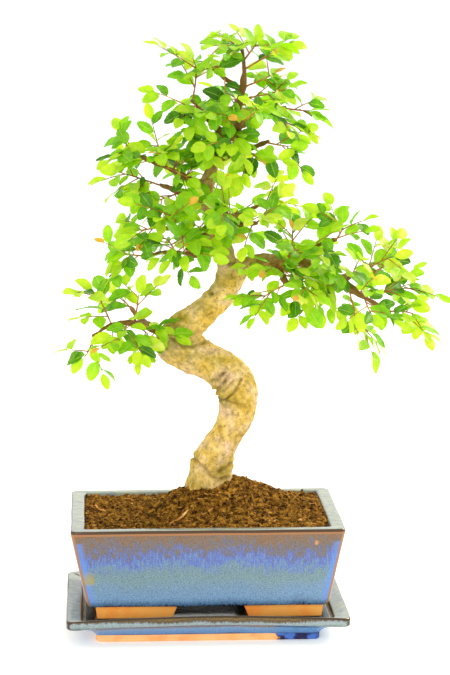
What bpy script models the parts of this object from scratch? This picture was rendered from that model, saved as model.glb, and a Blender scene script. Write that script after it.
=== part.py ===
"""An S-shaped elm bonsai in a glazed stoneware pot, standing on its matching drip tray.

Metres, +Z up. +X is the right-hand side seen from the front, and +Y points to the back. All sizes
below are measured from the middle of the drip tray, on the surface it stands on. The crown leans to
the right, so the whole is moved at the end to bring its middle over the origin.
"""

import math
import random
from typing import NamedTuple

import bmesh
import bpy
from mathutils import Matrix, Vector
from mathutils.bvhtree import BVHTree

GAP = 0.0003  # left between pieces that rest on each other
CROWN_LEAN = 0.0368  # from the middle of the tray to the middle of the whole

# Drip tray: a shallow oblong dish whose lip overhangs a narrower foot ring
TRAY_LENGTH = 0.210
TRAY_DEPTH = 0.159
TRAY_HEIGHT = 0.0225
TRAY_FLOOR_TOP = 0.0172
TRAY_FLOOR_UNDER = 0.0115
TRAY_FOOT_LENGTH = 0.168
TRAY_FOOT_DEPTH = 0.125
TRAY_FOOT_WIDTH = 0.007
TRAY_CORNER = 0.0045

# Pot: tapering walls, a flat rim, four bare clay feet and two drainage holes
POT_LENGTH = 0.205
POT_DEPTH = 0.150
POT_BASE_LENGTH = 0.1826
POT_BASE_DEPTH = 0.1335
POT_RIM_TOP = 0.0876
POT_FOOT_HEIGHT = 0.0115
POT_UNDER = TRAY_FLOOR_TOP + GAP + POT_FOOT_HEIGHT
POT_FLOOR_TOP = POT_UNDER + 0.006
POT_RIM_WIDTH = 0.0105
POT_WALL = 0.0075
POT_CORNER = 0.0045
FOOT_OUTER_X = 0.0855
FOOT_INNER_X = 0.0225
FOOT_OUTER_Y = 0.0620
FOOT_INNER_Y = 0.0260
FOOT_SLANT = 0.0035
FOOT_SINK = 0.002
DRAIN_RADIUS = 0.008
DRAIN_X = 0.045

# Drain screens: squares of plastic mesh over the drainage holes
SCREEN_SIDE = 0.026
SCREEN_WIRE = 0.0011
SCREEN_CELLS = 5

# Soil: fills the pot to just under its rim and is heaped round the trunk
SOIL_EDGE_TOP = 0.0845
SOIL_CORNER = 0.0075
SOIL_CELLS_X = 24
SOIL_CELLS_Y = 16
SOIL_GRAIN = 0.0007

# Wood: half-thickness is the radius at each point of a route
TRUNK_SIDES = 12
BRANCH_SIDES = 6
TRUNK_STEPS = 2
BRANCH_STEPS = 2
ROOT_STUB_BOTTOM = 0.080

# Leaf sprays
TWIG_HALF = 0.00055
NODE_HALF = 0.0008
LEAF_SPACING = 0.0088
MOST_PAIRS = 4
LEAF_LENGTH = 0.0158
LEAF_WIDTH = 0.62  # of its length
LEAF_HALF_THICKNESS = 0.00025
LEAF_CLEARANCE = 0.0006
LEAF_FORWARD = math.radians(38)
LEAF_SHINGLE = math.radians(24)
LEAF_LEAST_TURN = 0.35  # cosine of the most that a leaf may twist on its twig
LEAF_TRIES = 9
SPRAY_TRIES = 14

# The trunk's route from its stub in the soil into the left bend: (x, y, z, radius)
LOWER_TRUNK = [
    (0.0010, 0.0000, 0.0800, 0.0150),
    (0.0022, 0.0000, 0.0980, 0.0172),
    (0.0030, 0.0000, 0.1080, 0.0165),
    (0.0062, -0.0005, 0.1240, 0.0156),
    (0.0125, -0.0015, 0.1385, 0.0132),
    (0.0195, -0.0030, 0.1510, 0.0126),
    (0.0250, -0.0045, 0.1650, 0.0142),
    (0.0258, -0.0050, 0.1775, 0.0157),
    (0.0215, -0.0040, 0.1885, 0.0160),
    (0.0120, -0.0010, 0.1975, 0.0146),
    (0.0010, 0.0030, 0.2030, 0.0144),
    (-0.0095, 0.0055, 0.2080, 0.0155),
    (-0.0180, 0.0070, 0.2140, 0.0168),
]

# The swollen knee at the left bend: its middle and radius
KNEE = (-0.0190, 0.0070, 0.2160, 0.0185)

# The trunk's route from inside the knee, through the fork, to the pruned stump in the crown
UPPER_TRUNK = [
    (-0.0200, 0.0070, 0.2160, 0.0160),
    (-0.0140, 0.0060, 0.2275, 0.0138),
    (-0.0045, 0.0040, 0.2365, 0.0114),
    (0.0060, 0.0020, 0.2460, 0.0107),
    (0.0150, 0.0000, 0.2560, 0.0101),
    (0.0180, 0.0000, 0.2680, 0.0090),
    (0.0165, 0.0005, 0.2820, 0.0072),
    (0.0125, 0.0015, 0.2980, 0.0064),
    (0.0070, 0.0020, 0.3150, 0.0060),
    (0.0020, 0.0015, 0.3300, 0.0058),
    (-0.0008, 0.0000, 0.3415, 0.0050),
]

# Branches, each starting inside the wood that carries it
BRANCHES = {
    "leader": [
        (0.0010, 0.0010, 0.3340, 0.0044),
        (0.0075, 0.0000, 0.3530, 0.0040),
        (0.0175, -0.0020, 0.3730, 0.0035),
        (0.0260, -0.0030, 0.3960, 0.0030),
        (0.0300, -0.0030, 0.4180, 0.0023),
        (0.0290, -0.0030, 0.4400, 0.0014),
    ],
    "top_left": [
        (0.0175, -0.0020, 0.3730, 0.0026),
        (0.0050, -0.0060, 0.3860, 0.0022),
        (-0.0100, -0.0060, 0.4020, 0.0014),
    ],
    "top_right": [
        (0.0200, -0.0020, 0.3790, 0.0028),
        (0.0400, -0.0040, 0.3880, 0.0022),
        (0.0620, -0.0030, 0.3960, 0.0014),
    ],
    "top_front": [
        (0.0160, -0.0020, 0.3700, 0.0026),
        (0.0240, -0.0180, 0.3790, 0.0021),
        (0.0270, -0.0380, 0.3880, 0.0014),
    ],
    "top_back": [
        (0.0220, -0.0030, 0.3850, 0.0026),
        (0.0270, 0.0160, 0.3930, 0.0021),
        (0.0260, 0.0360, 0.3990, 0.0014),
    ],
    "top_low_right": [
        (0.0090, 0.0000, 0.3560, 0.0028),
        (0.0280, 0.0030, 0.3620, 0.0022),
        (0.0500, 0.0050, 0.3700, 0.0014),
    ],
    "top_high_left": [
        (0.0290, -0.0030, 0.4080, 0.0020),
        (0.0150, 0.0020, 0.4180, 0.0016),
        (0.0030, 0.0040, 0.4280, 0.0012),
    ],
    "mid_left": [
        (0.0030, 0.0015, 0.3260, 0.0036),
        (-0.0120, -0.0040, 0.3420, 0.0029),
        (-0.0300, -0.0060, 0.3520, 0.0021),
        (-0.0480, -0.0050, 0.3600, 0.0014),
    ],
    "mid_left_low": [
        (0.0060, 0.0020, 0.3180, 0.0032),
        (-0.0140, 0.0060, 0.3300, 0.0026),
        (-0.0340, 0.0100, 0.3370, 0.0016),
    ],
    "mid_back": [
        (0.0080, 0.0020, 0.3120, 0.0030),
        (0.0050, 0.0200, 0.3210, 0.0024),
        (-0.0020, 0.0400, 0.3280, 0.0015),
    ],
    "mid_front_left": [
        (0.0130, 0.0010, 0.2960, 0.0034),
        (-0.0020, -0.0140, 0.3010, 0.0027),
        (-0.0220, -0.0240, 0.3060, 0.0020),
        (-0.0380, -0.0280, 0.3090, 0.0014),
    ],
    "mid_low_left": [
        (0.0150, 0.0000, 0.2870, 0.0032),
        (-0.0040, 0.0040, 0.2840, 0.0024),
        (-0.0260, 0.0060, 0.2860, 0.0018),
        (-0.0460, 0.0040, 0.2830, 0.0013),
    ],
    "mid_front_right": [
        (0.0110, 0.0015, 0.3030, 0.0030),
        (0.0240, -0.0140, 0.3080, 0.0024),
        (0.0390, -0.0260, 0.3110, 0.0015),
    ],
    "mid_right_back": [
        (0.0110, 0.0020, 0.3050, 0.0030),
        (0.0260, 0.0140, 0.3130, 0.0023),
        (0.0430, 0.0240, 0.3190, 0.0014),
    ],
    "right_branch": [
        (0.0170, 0.0000, 0.2620, 0.0080),
        (0.0300, -0.0030, 0.2755, 0.0066),
        (0.0475, -0.0070, 0.2805, 0.0052),
        (0.0685, -0.0100, 0.2815, 0.0044),
        (0.0930, -0.0110, 0.2700, 0.0036),
        (0.1175, -0.0080, 0.2545, 0.0028),
        (0.1420, -0.0040, 0.2390, 0.0016),
    ],
    "right_front": [
        (0.0480, -0.0070, 0.2805, 0.0030),
        (0.0560, -0.0220, 0.2740, 0.0024),
        (0.0600, -0.0420, 0.2660, 0.0015),
    ],
    "right_back": [
        (0.0600, -0.0090, 0.2820, 0.0030),
        (0.0700, 0.0100, 0.2860, 0.0024),
        (0.0780, 0.0320, 0.2860, 0.0015),
    ],
    "right_up": [
        (0.0685, -0.0100, 0.2815, 0.0028),
        (0.0820, -0.0160, 0.2920, 0.0022),
        (0.1000, -0.0180, 0.2980, 0.0014),
    ],
    "right_far_front": [
        (0.0930, -0.0110, 0.2700, 0.0026),
        (0.1080, -0.0240, 0.2640, 0.0020),
        (0.1200, -0.0380, 0.2540, 0.0013),
    ],
    "right_far_back": [
        (0.1000, -0.0105, 0.2660, 0.0026),
        (0.1180, 0.0060, 0.2690, 0.0020),
        (0.1330, 0.0240, 0.2680, 0.0013),
    ],
    "left_branch": [
        (-0.0240, 0.0060, 0.2180, 0.0048),
        (-0.0400, 0.0020, 0.2290, 0.0034),
        (-0.0560, -0.0020, 0.2330, 0.0026),
        (-0.0720, -0.0040, 0.2310, 0.0018),
        (-0.0850, -0.0040, 0.2230, 0.0013),
    ],
    "left_front": [
        (-0.0440, 0.0010, 0.2300, 0.0024),
        (-0.0540, -0.0160, 0.2340, 0.0019),
        (-0.0600, -0.0320, 0.2360, 0.0013),
    ],
    "left_back": [
        (-0.0420, 0.0020, 0.2295, 0.0024),
        (-0.0520, 0.0180, 0.2370, 0.0019),
        (-0.0560, 0.0340, 0.2410, 0.0013),
    ],
}

# Sprays: the branch that carries each, how far along it (0 to 1), and where its last leaf ends
SPRAYS = {
    "top": [
        ("leader", 0.98, (0.0130, -0.0050, 0.4595)),
        ("leader", 0.92, (0.0430, 0.0060, 0.4580)),
        ("leader", 0.86, (0.0575, -0.0140, 0.4480)),
        ("leader", 0.74, (0.0660, 0.0100, 0.4290)),
        ("leader", 0.66, (0.0760, -0.0120, 0.4170)),
        ("leader", 0.32, (-0.0140, -0.0280, 0.3790)),
        ("top_high_left", 0.95, (-0.0060, 0.0200, 0.4380)),
        ("top_high_left", 0.70, (0.0080, -0.0320, 0.4320)),
        ("top_left", 0.97, (-0.0150, -0.0050, 0.4455)),
        ("top_left", 0.85, (-0.0280, -0.0120, 0.4030)),
        ("top_left", 0.60, (-0.0060, -0.0420, 0.3980)),
        ("top_right", 0.97, (0.0945, -0.0040, 0.3950)),
        ("top_right", 0.75, (0.0780, -0.0300, 0.3780)),
        ("top_front", 0.95, (0.0420, -0.0620, 0.4020)),
        ("top_front", 0.60, (0.0180, -0.0520, 0.3660)),
        ("top_back", 0.97, (0.0260, 0.0640, 0.4050)),
        ("top_back", 0.70, (-0.0040, 0.0480, 0.3880)),
        ("top_back", 0.78, (0.0620, 0.0480, 0.3940)),
        ("top_low_right", 0.95, (0.0800, 0.0060, 0.3670)),
        ("top_low_right", 0.60, (0.0480, -0.0240, 0.3520)),
    ],
    "middle": [
        ("mid_left", 0.97, (-0.0740, -0.0060, 0.3720)),
        ("mid_left", 0.80, (-0.0600, -0.0300, 0.3600)),
        ("mid_left", 0.55, (-0.0200, -0.0340, 0.3700)),
        ("mid_left", 0.72, (-0.0420, 0.0200, 0.3760)),
        ("mid_left_low", 0.97, (-0.0790, 0.0080, 0.3500)),
        ("mid_left_low", 0.60, (-0.0500, -0.0120, 0.3240)),
        ("mid_back", 0.97, (-0.0140, 0.0660, 0.3360)),
        ("mid_back", 0.70, (0.0260, 0.0500, 0.3360)),
        ("mid_front_left", 0.95, (-0.0640, -0.0340, 0.3060)),
        ("mid_front_left", 0.78, (-0.0300, -0.0560, 0.3260)),
        ("mid_front_left", 0.60, (-0.0160, -0.0500, 0.2780)),
        ("mid_low_left", 0.97, (-0.0740, 0.0020, 0.2790)),
        ("mid_low_left", 0.60, (-0.0400, 0.0400, 0.2960)),
        ("mid_right_back", 0.95, (0.0700, 0.0200, 0.3280)),
        ("mid_front_right", 0.95, (0.0560, -0.0460, 0.3180)),
        ("mid_front_right", 0.50, (0.0120, -0.0520, 0.3320)),
    ],
    "right": [
        ("right_branch", 0.98, (0.1740, -0.0040, 0.2280)),
        ("right_branch", 0.88, (0.1770, -0.0160, 0.2540)),
        ("right_branch", 0.78, (0.1420, 0.0060, 0.2060)),
        ("right_branch", 0.48, (0.0620, -0.0180, 0.3190)),
        ("right_branch", 0.60, (0.0900, -0.0180, 0.2300)),
        ("right_front", 0.95, (0.0320, -0.0520, 0.2460)),
        ("right_front", 0.60, (0.0860, -0.0560, 0.2560)),
        ("right_back", 0.95, (0.0860, 0.0600, 0.2820)),
        ("right_up", 0.97, (0.1180, -0.0200, 0.3100)),
        ("right_far_front", 0.95, (0.1300, -0.0600, 0.2360)),
        ("right_far_back", 0.95, (0.1500, 0.0440, 0.2660)),
        ("right_far_back", 0.60, (0.1600, 0.0040, 0.2850)),
    ],
    "left": [
        ("left_branch", 0.98, (-0.1020, -0.0040, 0.1955)),
        ("left_branch", 0.72, (-0.0960, -0.0060, 0.2680)),
        ("left_branch", 0.45, (-0.0470, -0.0060, 0.2700)),
        ("left_front", 0.95, (-0.0700, -0.0580, 0.2220)),
        ("left_front", 0.50, (-0.0380, -0.0400, 0.2200)),
        ("left_back", 0.95, (-0.0820, 0.0540, 0.2440)),
    ],
}

MATERIALS = {
    "tray_glaze": ("7FA0BE", 0.18, 0.0),
    "pot_glaze": ("6F86B4", 0.18, 0.0),
    "potting_soil": ("6B4519", 0.95, 0.0),
    "mesh_plastic": ("26282A", 0.60, 0.0),
    "elm_bark": ("C8AC68", 0.85, 0.0),
    "elm_leaf": ("6FC21E", 0.45, 0.0),
}


class Section(NamedTuple):
    """A four-cornered cross-section: its middle, its two directions and half its two widths."""

    centre: Vector
    wide: Vector
    thin: Vector
    half_wide: float
    half_thin: float


def clear_scene():
    for obj in list(bpy.data.objects):
        bpy.data.objects.remove(obj)


def linear(channel):
    return channel / 12.92 if channel <= 0.04045 else ((channel + 0.055) / 1.055) ** 2.4


def make_material(name):
    hex_colour, roughness, metallic = MATERIALS[name]
    channels = [int(hex_colour[i : i + 2], 16) / 255 for i in (0, 2, 4)]
    material = bpy.data.materials.new(name)
    material.use_nodes = True
    shader = material.node_tree.nodes["Principled BSDF"]
    shader.inputs["Base Color"].default_value = (*[linear(c) for c in channels], 1.0)
    shader.inputs["Roughness"].default_value = roughness
    shader.inputs["Metallic"].default_value = metallic
    return material


def new_collection(name):
    collection = bpy.data.collections.new(name)
    bpy.context.scene.collection.children.link(collection)
    return collection


def add_object(name, bm, material, collection):
    """An object named name from a bmesh, its faces turned outwards, in the given collection."""
    bmesh.ops.recalc_face_normals(bm, faces=bm.faces)
    if bm.calc_volume(signed=True) < 0:
        bmesh.ops.reverse_faces(bm, faces=bm.faces)
    mesh = bpy.data.meshes.new(name)
    bm.to_mesh(mesh)
    bm.free()
    if material:
        mesh.materials.append(material)
    obj = bpy.data.objects.new(name, mesh)
    collection.objects.link(obj)
    return obj


def make_cutter(name, bm, collection):
    cutter = add_object(name, bm, None, collection)
    cutter.hide_render = True
    cutter.display_type = "WIRE"
    return cutter


def boolean(obj, operation, operands):
    """A live Boolean of obj with every mesh of the collection operands."""
    modifier = obj.modifiers.new(operation.title(), "BOOLEAN")
    modifier.operation = operation
    modifier.solver = "EXACT"
    modifier.operand_type = "COLLECTION"
    modifier.collection = operands


def rounded_plate(length, depth, z, corner):
    """A bmesh holding one level oblong face with rounded corners."""
    bm = bmesh.new()
    bmesh.ops.create_grid(bm, x_segments=1, y_segments=1, size=0.5)
    bmesh.ops.scale(bm, vec=(length, depth, 1), verts=bm.verts)
    bmesh.ops.translate(bm, vec=(0, 0, z), verts=bm.verts)
    bmesh.ops.bevel(
        bm, geom=bm.verts[:], offset=corner, segments=3, profile=0.5, affect="VERTICES"
    )
    return bm


def extrude_cap(bm, cap):
    """Extrude a face and return the new one with its vertices; only a loose plate stays behind."""
    loose = all(edge.is_boundary for edge in cap.edges)
    grown = bmesh.ops.extrude_face_region(bm, geom=[cap])["geom"]
    if not loose:
        bmesh.ops.delete(bm, geom=[cap], context="FACES_ONLY")
    verts = [e for e in grown if isinstance(e, bmesh.types.BMVert)]
    return next(e for e in grown if isinstance(e, bmesh.types.BMFace)), verts


def stack_rings(bm, rings):
    """Extrude the plate in bm through rings of (length, depth, z)."""
    cap = bm.faces[:][0]
    old_length, old_depth, old_z = plate_size(cap)
    for length, depth, z in rings:
        cap, verts = extrude_cap(bm, cap)
        bmesh.ops.scale(bm, vec=(length / old_length, depth / old_depth, 1), verts=verts)
        bmesh.ops.translate(bm, vec=(0, 0, z - old_z), verts=verts)
        old_length, old_depth, old_z = length, depth, z
    return cap


def plate_size(face):
    xs = [v.co.x for v in face.verts]
    ys = [v.co.y for v in face.verts]
    return max(xs) - min(xs), max(ys) - min(ys), face.verts[0].co.z


def make_tray(material, collection):
    """Drip tray: from the hollow under its floor, round the foot and the lip, to its floor."""
    foot_x, foot_y = TRAY_FOOT_LENGTH, TRAY_FOOT_DEPTH
    hollow_x, hollow_y = foot_x - 2 * TRAY_FOOT_WIDTH, foot_y - 2 * TRAY_FOOT_WIDTH
    lip_x, lip_y = TRAY_LENGTH, TRAY_DEPTH
    bm = rounded_plate(hollow_x - 0.004, hollow_y - 0.004, TRAY_FLOOR_UNDER, TRAY_CORNER)
    stack_rings(
        bm,
        [
            (hollow_x, hollow_y, TRAY_FLOOR_UNDER - 0.002),
            (hollow_x, hollow_y, 0.0),
            (foot_x, foot_y, 0.0),
            (foot_x, foot_y, 0.0048),
            (foot_x + 0.003, foot_y + 0.003, 0.0062),
            (foot_x + 0.009, foot_y + 0.008, 0.0100),
            (foot_x + 0.020, foot_y + 0.017, 0.0132),
            (lip_x - 0.005, lip_y - 0.005, 0.0152),
            (lip_x - 0.001, lip_y - 0.001, 0.0165),
            (lip_x, lip_y, 0.0180),
            (lip_x, lip_y, 0.0212),
            (lip_x - 0.0015, lip_y - 0.0015, TRAY_HEIGHT),
            (lip_x - 0.006, lip_y - 0.006, TRAY_HEIGHT - 0.0004),
            (lip_x - 0.023, lip_y - 0.022, TRAY_HEIGHT - 0.0026),
            (lip_x - 0.026, lip_y - 0.025, TRAY_FLOOR_TOP + 0.0006),
            (lip_x - 0.029, lip_y - 0.028, TRAY_FLOOR_TOP),
        ],
    )
    return add_object("drip_tray", bm, material, collection)


def make_foot(bm, side_x, side_y):
    """One clay foot: a block whose inner ends slant in under the pot, sunk into the pot's floor."""
    length, depth = FOOT_OUTER_X - FOOT_INNER_X, FOOT_OUTER_Y - FOOT_INNER_Y
    height = POT_FOOT_HEIGHT + FOOT_SINK
    verts = bmesh.ops.create_cube(bm, size=1)["verts"]
    bmesh.ops.scale(bm, vec=(length, depth, height), verts=verts)
    middle = Vector((FOOT_INNER_X + length / 2, FOOT_INNER_Y + depth / 2, 0))
    bmesh.ops.translate(bm, vec=middle, verts=verts)
    for vert in verts:
        if vert.co.z < 0:
            vert.co.x += FOOT_SLANT if vert.co.x < middle.x else -FOOT_SLANT / 3
            vert.co.y += FOOT_SLANT if vert.co.y < middle.y else -FOOT_SLANT / 3
    bmesh.ops.scale(bm, vec=(side_x, side_y, 1), verts=verts)
    lift = POT_UNDER - POT_FOOT_HEIGHT + height / 2
    bmesh.ops.translate(bm, vec=(0, 0, lift), verts=verts)


def make_pot(material, collection, helpers):
    """Pot: from under its floor, up the tapering wall, over the rim and down to the floor."""
    base_x, base_y = POT_BASE_LENGTH, POT_BASE_DEPTH
    rim_x, rim_y = POT_LENGTH, POT_DEPTH
    mouth_x, mouth_y = rim_x - 2 * POT_RIM_WIDTH, rim_y - 2 * POT_RIM_WIDTH
    floor_x, floor_y = base_x - 2 * POT_WALL, base_y - 2 * POT_WALL
    bm = rounded_plate(base_x - 0.006, base_y - 0.006, POT_UNDER, POT_CORNER)
    stack_rings(
        bm,
        [
            (base_x - 0.002, base_y - 0.002, POT_UNDER + 0.0009),
            (base_x, base_y, POT_UNDER + 0.0030),
            (rim_x - 0.0022, rim_y - 0.0022, POT_RIM_TOP - 0.0042),
            (rim_x - 0.0006, rim_y - 0.0006, POT_RIM_TOP - 0.0034),
            (rim_x, rim_y, POT_RIM_TOP - 0.0024),
            (rim_x, rim_y, POT_RIM_TOP - 0.0010),
            (rim_x - 0.0014, rim_y - 0.0014, POT_RIM_TOP),
            (mouth_x + 0.0016, mouth_y + 0.0016, POT_RIM_TOP),
            (mouth_x, mouth_y, POT_RIM_TOP - 0.0012),
            (floor_x + 0.004, floor_y + 0.004, POT_FLOOR_TOP + 0.0060),
            (floor_x, floor_y, POT_FLOOR_TOP + 0.0012),
            (floor_x - 0.004, floor_y - 0.004, POT_FLOOR_TOP),
        ],
    )
    pot = add_object("pot", bm, material, collection)
    feet = new_collection("pot_feet")
    for side_x in (-1, 1):
        for side_y in (-1, 1):
            foot = bmesh.new()
            make_foot(foot, side_x, side_y)
            make_cutter(f"foot_{side_x:+d}_{side_y:+d}", foot, feet)
    boolean(pot, "UNION", feet)
    holes = new_collection("drainage_holes")
    for side_x in (-1, 1):
        hole = bmesh.new()
        verts = bmesh.ops.create_cone(
            hole,
            cap_ends=True,
            segments=20,
            radius1=DRAIN_RADIUS,
            radius2=DRAIN_RADIUS,
            depth=0.03,
        )["verts"]
        bmesh.ops.translate(hole, vec=(side_x * DRAIN_X, 0, POT_UNDER), verts=verts)
        make_cutter(f"drainage_hole_{side_x:+d}", hole, holes)
    boolean(pot, "DIFFERENCE", holes)
    helpers.children.link(feet)
    helpers.children.link(holes)
    return pot


def make_screen(name, side_x, material, collection):
    """Plastic mesh laid over one drainage hole."""
    bm = bmesh.new()
    bmesh.ops.create_grid(
        bm, x_segments=SCREEN_CELLS, y_segments=SCREEN_CELLS, size=SCREEN_SIDE / 2
    )
    screen = add_object(name, bm, material, collection)
    screen.location = (side_x * DRAIN_X, 0, POT_FLOOR_TOP + GAP + SCREEN_WIRE / 2)
    wires = screen.modifiers.new("Wires", "WIREFRAME")
    wires.thickness = SCREEN_WIRE
    wires.use_even_offset = False
    wires.use_boundary = True
    return screen


def soil_height(x, y):
    """The heap: a broad mound banked up to the trunk and a lower shoulder to its right."""
    mound = 0.0190 * math.exp(-(abs((x - 0.002) / 0.033) ** 2.4 + abs((y + 0.006) / 0.029) ** 2.4) / 1.6)
    shoulder = 0.0130 * math.exp(-(((x - 0.040) / 0.028) ** 2 + ((y - 0.010) / 0.026) ** 2) / 2)
    swell = 0.0030 * math.exp(-((x / 0.075) ** 2 + ((y - 0.020) / 0.045) ** 2) / 2)
    ripples = SOIL_GRAIN * (math.sin(310 * x + 2.1) * math.sin(270 * y) + math.sin(620 * x - 410 * y))
    return SOIL_EDGE_TOP + mound + shoulder + swell + ripples


def inside_size(z):
    """The length and depth of the pot's inside at height z, less the gap all round."""
    low_z, high_z = POT_FLOOR_TOP + 0.0060, POT_RIM_TOP - 0.0012
    share = (z - low_z) / (high_z - low_z)
    low_x, high_x = POT_BASE_LENGTH - 2 * POT_WALL + 0.004, POT_LENGTH - 2 * POT_RIM_WIDTH
    low_y, high_y = POT_BASE_DEPTH - 2 * POT_WALL + 0.004, POT_DEPTH - 2 * POT_RIM_WIDTH
    length = low_x + share * (high_x - low_x)
    depth = low_y + share * (high_y - low_y)
    return length - 2.5 * GAP, depth - 2.5 * GAP


def make_soil(material, collection, cutters):
    """Soil: a rippled top sheet whose edge is drawn down the inside of the pot and closed below."""
    length, depth = inside_size(SOIL_EDGE_TOP)
    bm = bmesh.new()
    bmesh.ops.create_grid(bm, x_segments=SOIL_CELLS_X, y_segments=SOIL_CELLS_Y, size=0.5)
    bmesh.ops.scale(bm, vec=(length, depth, 1), verts=bm.verts)
    for vert in bm.verts:
        over_x = abs(vert.co.x) - (length / 2 - SOIL_CORNER)
        over_y = abs(vert.co.y) - (depth / 2 - SOIL_CORNER)
        if over_x > 0 and over_y > 0:
            pull = max(over_x, over_y) / math.hypot(over_x, over_y)
            vert.co.x -= math.copysign(over_x * (1 - pull), vert.co.x)
            vert.co.y -= math.copysign(over_y * (1 - pull), vert.co.y)
        top = soil_height(vert.co.x, vert.co.y)
        vert.co.z = SOIL_EDGE_TOP if vert.is_boundary else top
    rim = [e for e in bm.edges if e.is_boundary]
    old_length, old_depth, old_z = length, depth, SOIL_EDGE_TOP
    floor_x = POT_BASE_LENGTH - 2 * POT_WALL - 0.006
    floor_y = POT_BASE_DEPTH - 2 * POT_WALL - 0.006
    low = POT_FLOOR_TOP + 0.0065
    for new_length, new_depth, z in (
        (*inside_size(low), low),
        (floor_x, floor_y, POT_FLOOR_TOP + 0.0018),
        (floor_x - 0.004, floor_y - 0.004, POT_FLOOR_TOP + GAP),
    ):
        grown = bmesh.ops.extrude_edge_only(bm, edges=rim)["geom"]
        verts = [e for e in grown if isinstance(e, bmesh.types.BMVert)]
        rim = [e for e in grown if isinstance(e, bmesh.types.BMEdge) and e.is_boundary]
        bmesh.ops.scale(
            bm, vec=(new_length / old_length, new_depth / old_depth, 1), verts=verts
        )
        bmesh.ops.translate(bm, vec=(0, 0, z - old_z), verts=verts)
        old_length, old_depth, old_z = new_length, new_depth, z
    bmesh.ops.edgeloop_fill(bm, edges=rim)
    soil = add_object("soil", bm, material, collection)
    boolean(soil, "DIFFERENCE", cutters)
    return soil


def smooth_route(points, steps):
    """Points along a smooth curve through a route of (x, y, z, radius), steps to each stretch."""
    ends = [Vector(p) for p in points]
    ends = [2 * ends[0] - ends[1], *ends, 2 * ends[-1] - ends[-2]]
    route = []
    for a, b, c, d in zip(ends, ends[1:], ends[2:], ends[3:]):
        for step in range(steps):
            t = step / steps
            route.append(
                0.5
                * (
                    2 * b
                    + (c - a) * t
                    + (2 * a - 5 * b + 4 * c - d) * t**2
                    + (3 * b - a - 3 * c + d) * t**3
                )
            )
    return [*route, ends[-2]]


def make_tube(name, route, sides, collection, grow=0.0):
    """A closed round tube along a route of (x, y, z, radius), as a mesh, grown by grow all round."""
    curve = bpy.data.curves.new(name, "CURVE")
    curve.dimensions = "3D"
    curve.bevel_depth = 1.0
    curve.bevel_resolution = (sides - 4) // 2
    curve.use_fill_caps = True
    spline = curve.splines.new("POLY")
    spline.points.add(len(route) - 1)
    for point, (x, y, z, radius) in zip(spline.points, route):
        point.co = (x, y, z, 1)
        point.radius = radius + grow
    guide = bpy.data.objects.new(name, curve)
    bpy.context.scene.collection.objects.link(guide)
    graph = bpy.context.evaluated_depsgraph_get()
    mesh = bpy.data.meshes.new_from_object(guide.evaluated_get(graph))
    bpy.data.objects.remove(guide)
    bm = bmesh.new()
    bm.from_mesh(mesh)
    bmesh.ops.remove_doubles(bm, verts=bm.verts, dist=1e-6)
    bpy.data.meshes.remove(mesh)
    return add_object(name, bm, None, collection)


def make_wood(material, collection, helpers, soil_cutters):
    """The trunk and its branches, grown together as one piece of wood."""
    routes = {"lower_trunk": smooth_route(LOWER_TRUNK, TRUNK_STEPS)}
    routes["upper_trunk"] = smooth_route(UPPER_TRUNK, TRUNK_STEPS)
    for name, points in BRANCHES.items():
        routes[name] = smooth_route(points, BRANCH_STEPS)
    wood = make_tube("trunk_and_branches", routes["lower_trunk"], TRUNK_SIDES, collection)
    wood.data.materials.append(material)
    branches = new_collection("branch_tubes")
    for name in ("upper_trunk", *BRANCHES):
        sides = BRANCH_SIDES if name in BRANCHES else TRUNK_SIDES
        tube = make_tube(name, routes[name], sides, branches)
        tube.hide_render = True
        tube.display_type = "WIRE"
    knee = bmesh.new()
    bmesh.ops.create_icosphere(knee, subdivisions=2, radius=KNEE[3])
    bmesh.ops.translate(knee, vec=KNEE[:3], verts=knee.verts)
    make_cutter("knee", knee, branches)
    boolean(wood, "UNION", branches)
    wood.data.shade_smooth()
    wood.data.set_sharp_from_angle(angle=math.radians(50))
    helpers.children.link(branches)
    stub = [point.copy() for point in routes["lower_trunk"] if point[2] < 0.125]
    stub[0][2] -= GAP
    socket = make_tube("trunk_socket", stub, TRUNK_SIDES, soil_cutters, grow=GAP * 1.1)
    socket.hide_render = True
    socket.display_type = "WIRE"
    return wood, routes


def wood_tree(wood):
    """A search tree of the finished wood's surface."""
    graph = bpy.context.evaluated_depsgraph_get()
    graph.update()
    bm = bmesh.new()
    bm.from_object(wood, graph)
    tree = BVHTree.FromBMesh(bm)
    bm.free()
    return tree


def point_on(route, share):
    """The place, direction and radius at a share of the way along a route."""
    place = share * (len(route) - 1)
    index = min(int(place), len(route) - 2)
    here = route[index].lerp(route[index + 1], place - index)
    along = (route[index + 1] - route[index]).to_3d().normalized()
    return here.to_3d(), along, here.w


def twig_points(route, share, tip, stand_off, wander):
    """A twig's curve: where it starts beside its branch, its bend and its end."""
    centre, along, radius = point_on(route, share)
    towards = (tip - centre).normalized()
    leave = (towards - 0.55 * towards.dot(along) * along).normalized()
    start = centre + leave * (radius + GAP + stand_off)
    reach = (tip - start).length
    bend = start + leave * 0.45 * reach + wander
    end = tip - (tip - bend).normalized() * LEAF_LENGTH * 0.72
    return start, bend, end


def bezier(points, t):
    start, bend, end = points
    place = (1 - t) ** 2 * start + 2 * t * (1 - t) * bend + t**2 * end
    along = (1 - t) * (bend - start) + t * (end - bend)
    return place, along.normalized()


def twig_sections(points, facing, spots):
    """A square section of the twig at each spot, flat side towards facing."""
    sections = []
    for spot in spots:
        place, along = bezier(points, spot)
        side = along.cross(facing).normalized()
        sections.append(Section(place, side, side.cross(along), TWIG_HALF, TWIG_HALF))
    return sections


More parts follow.
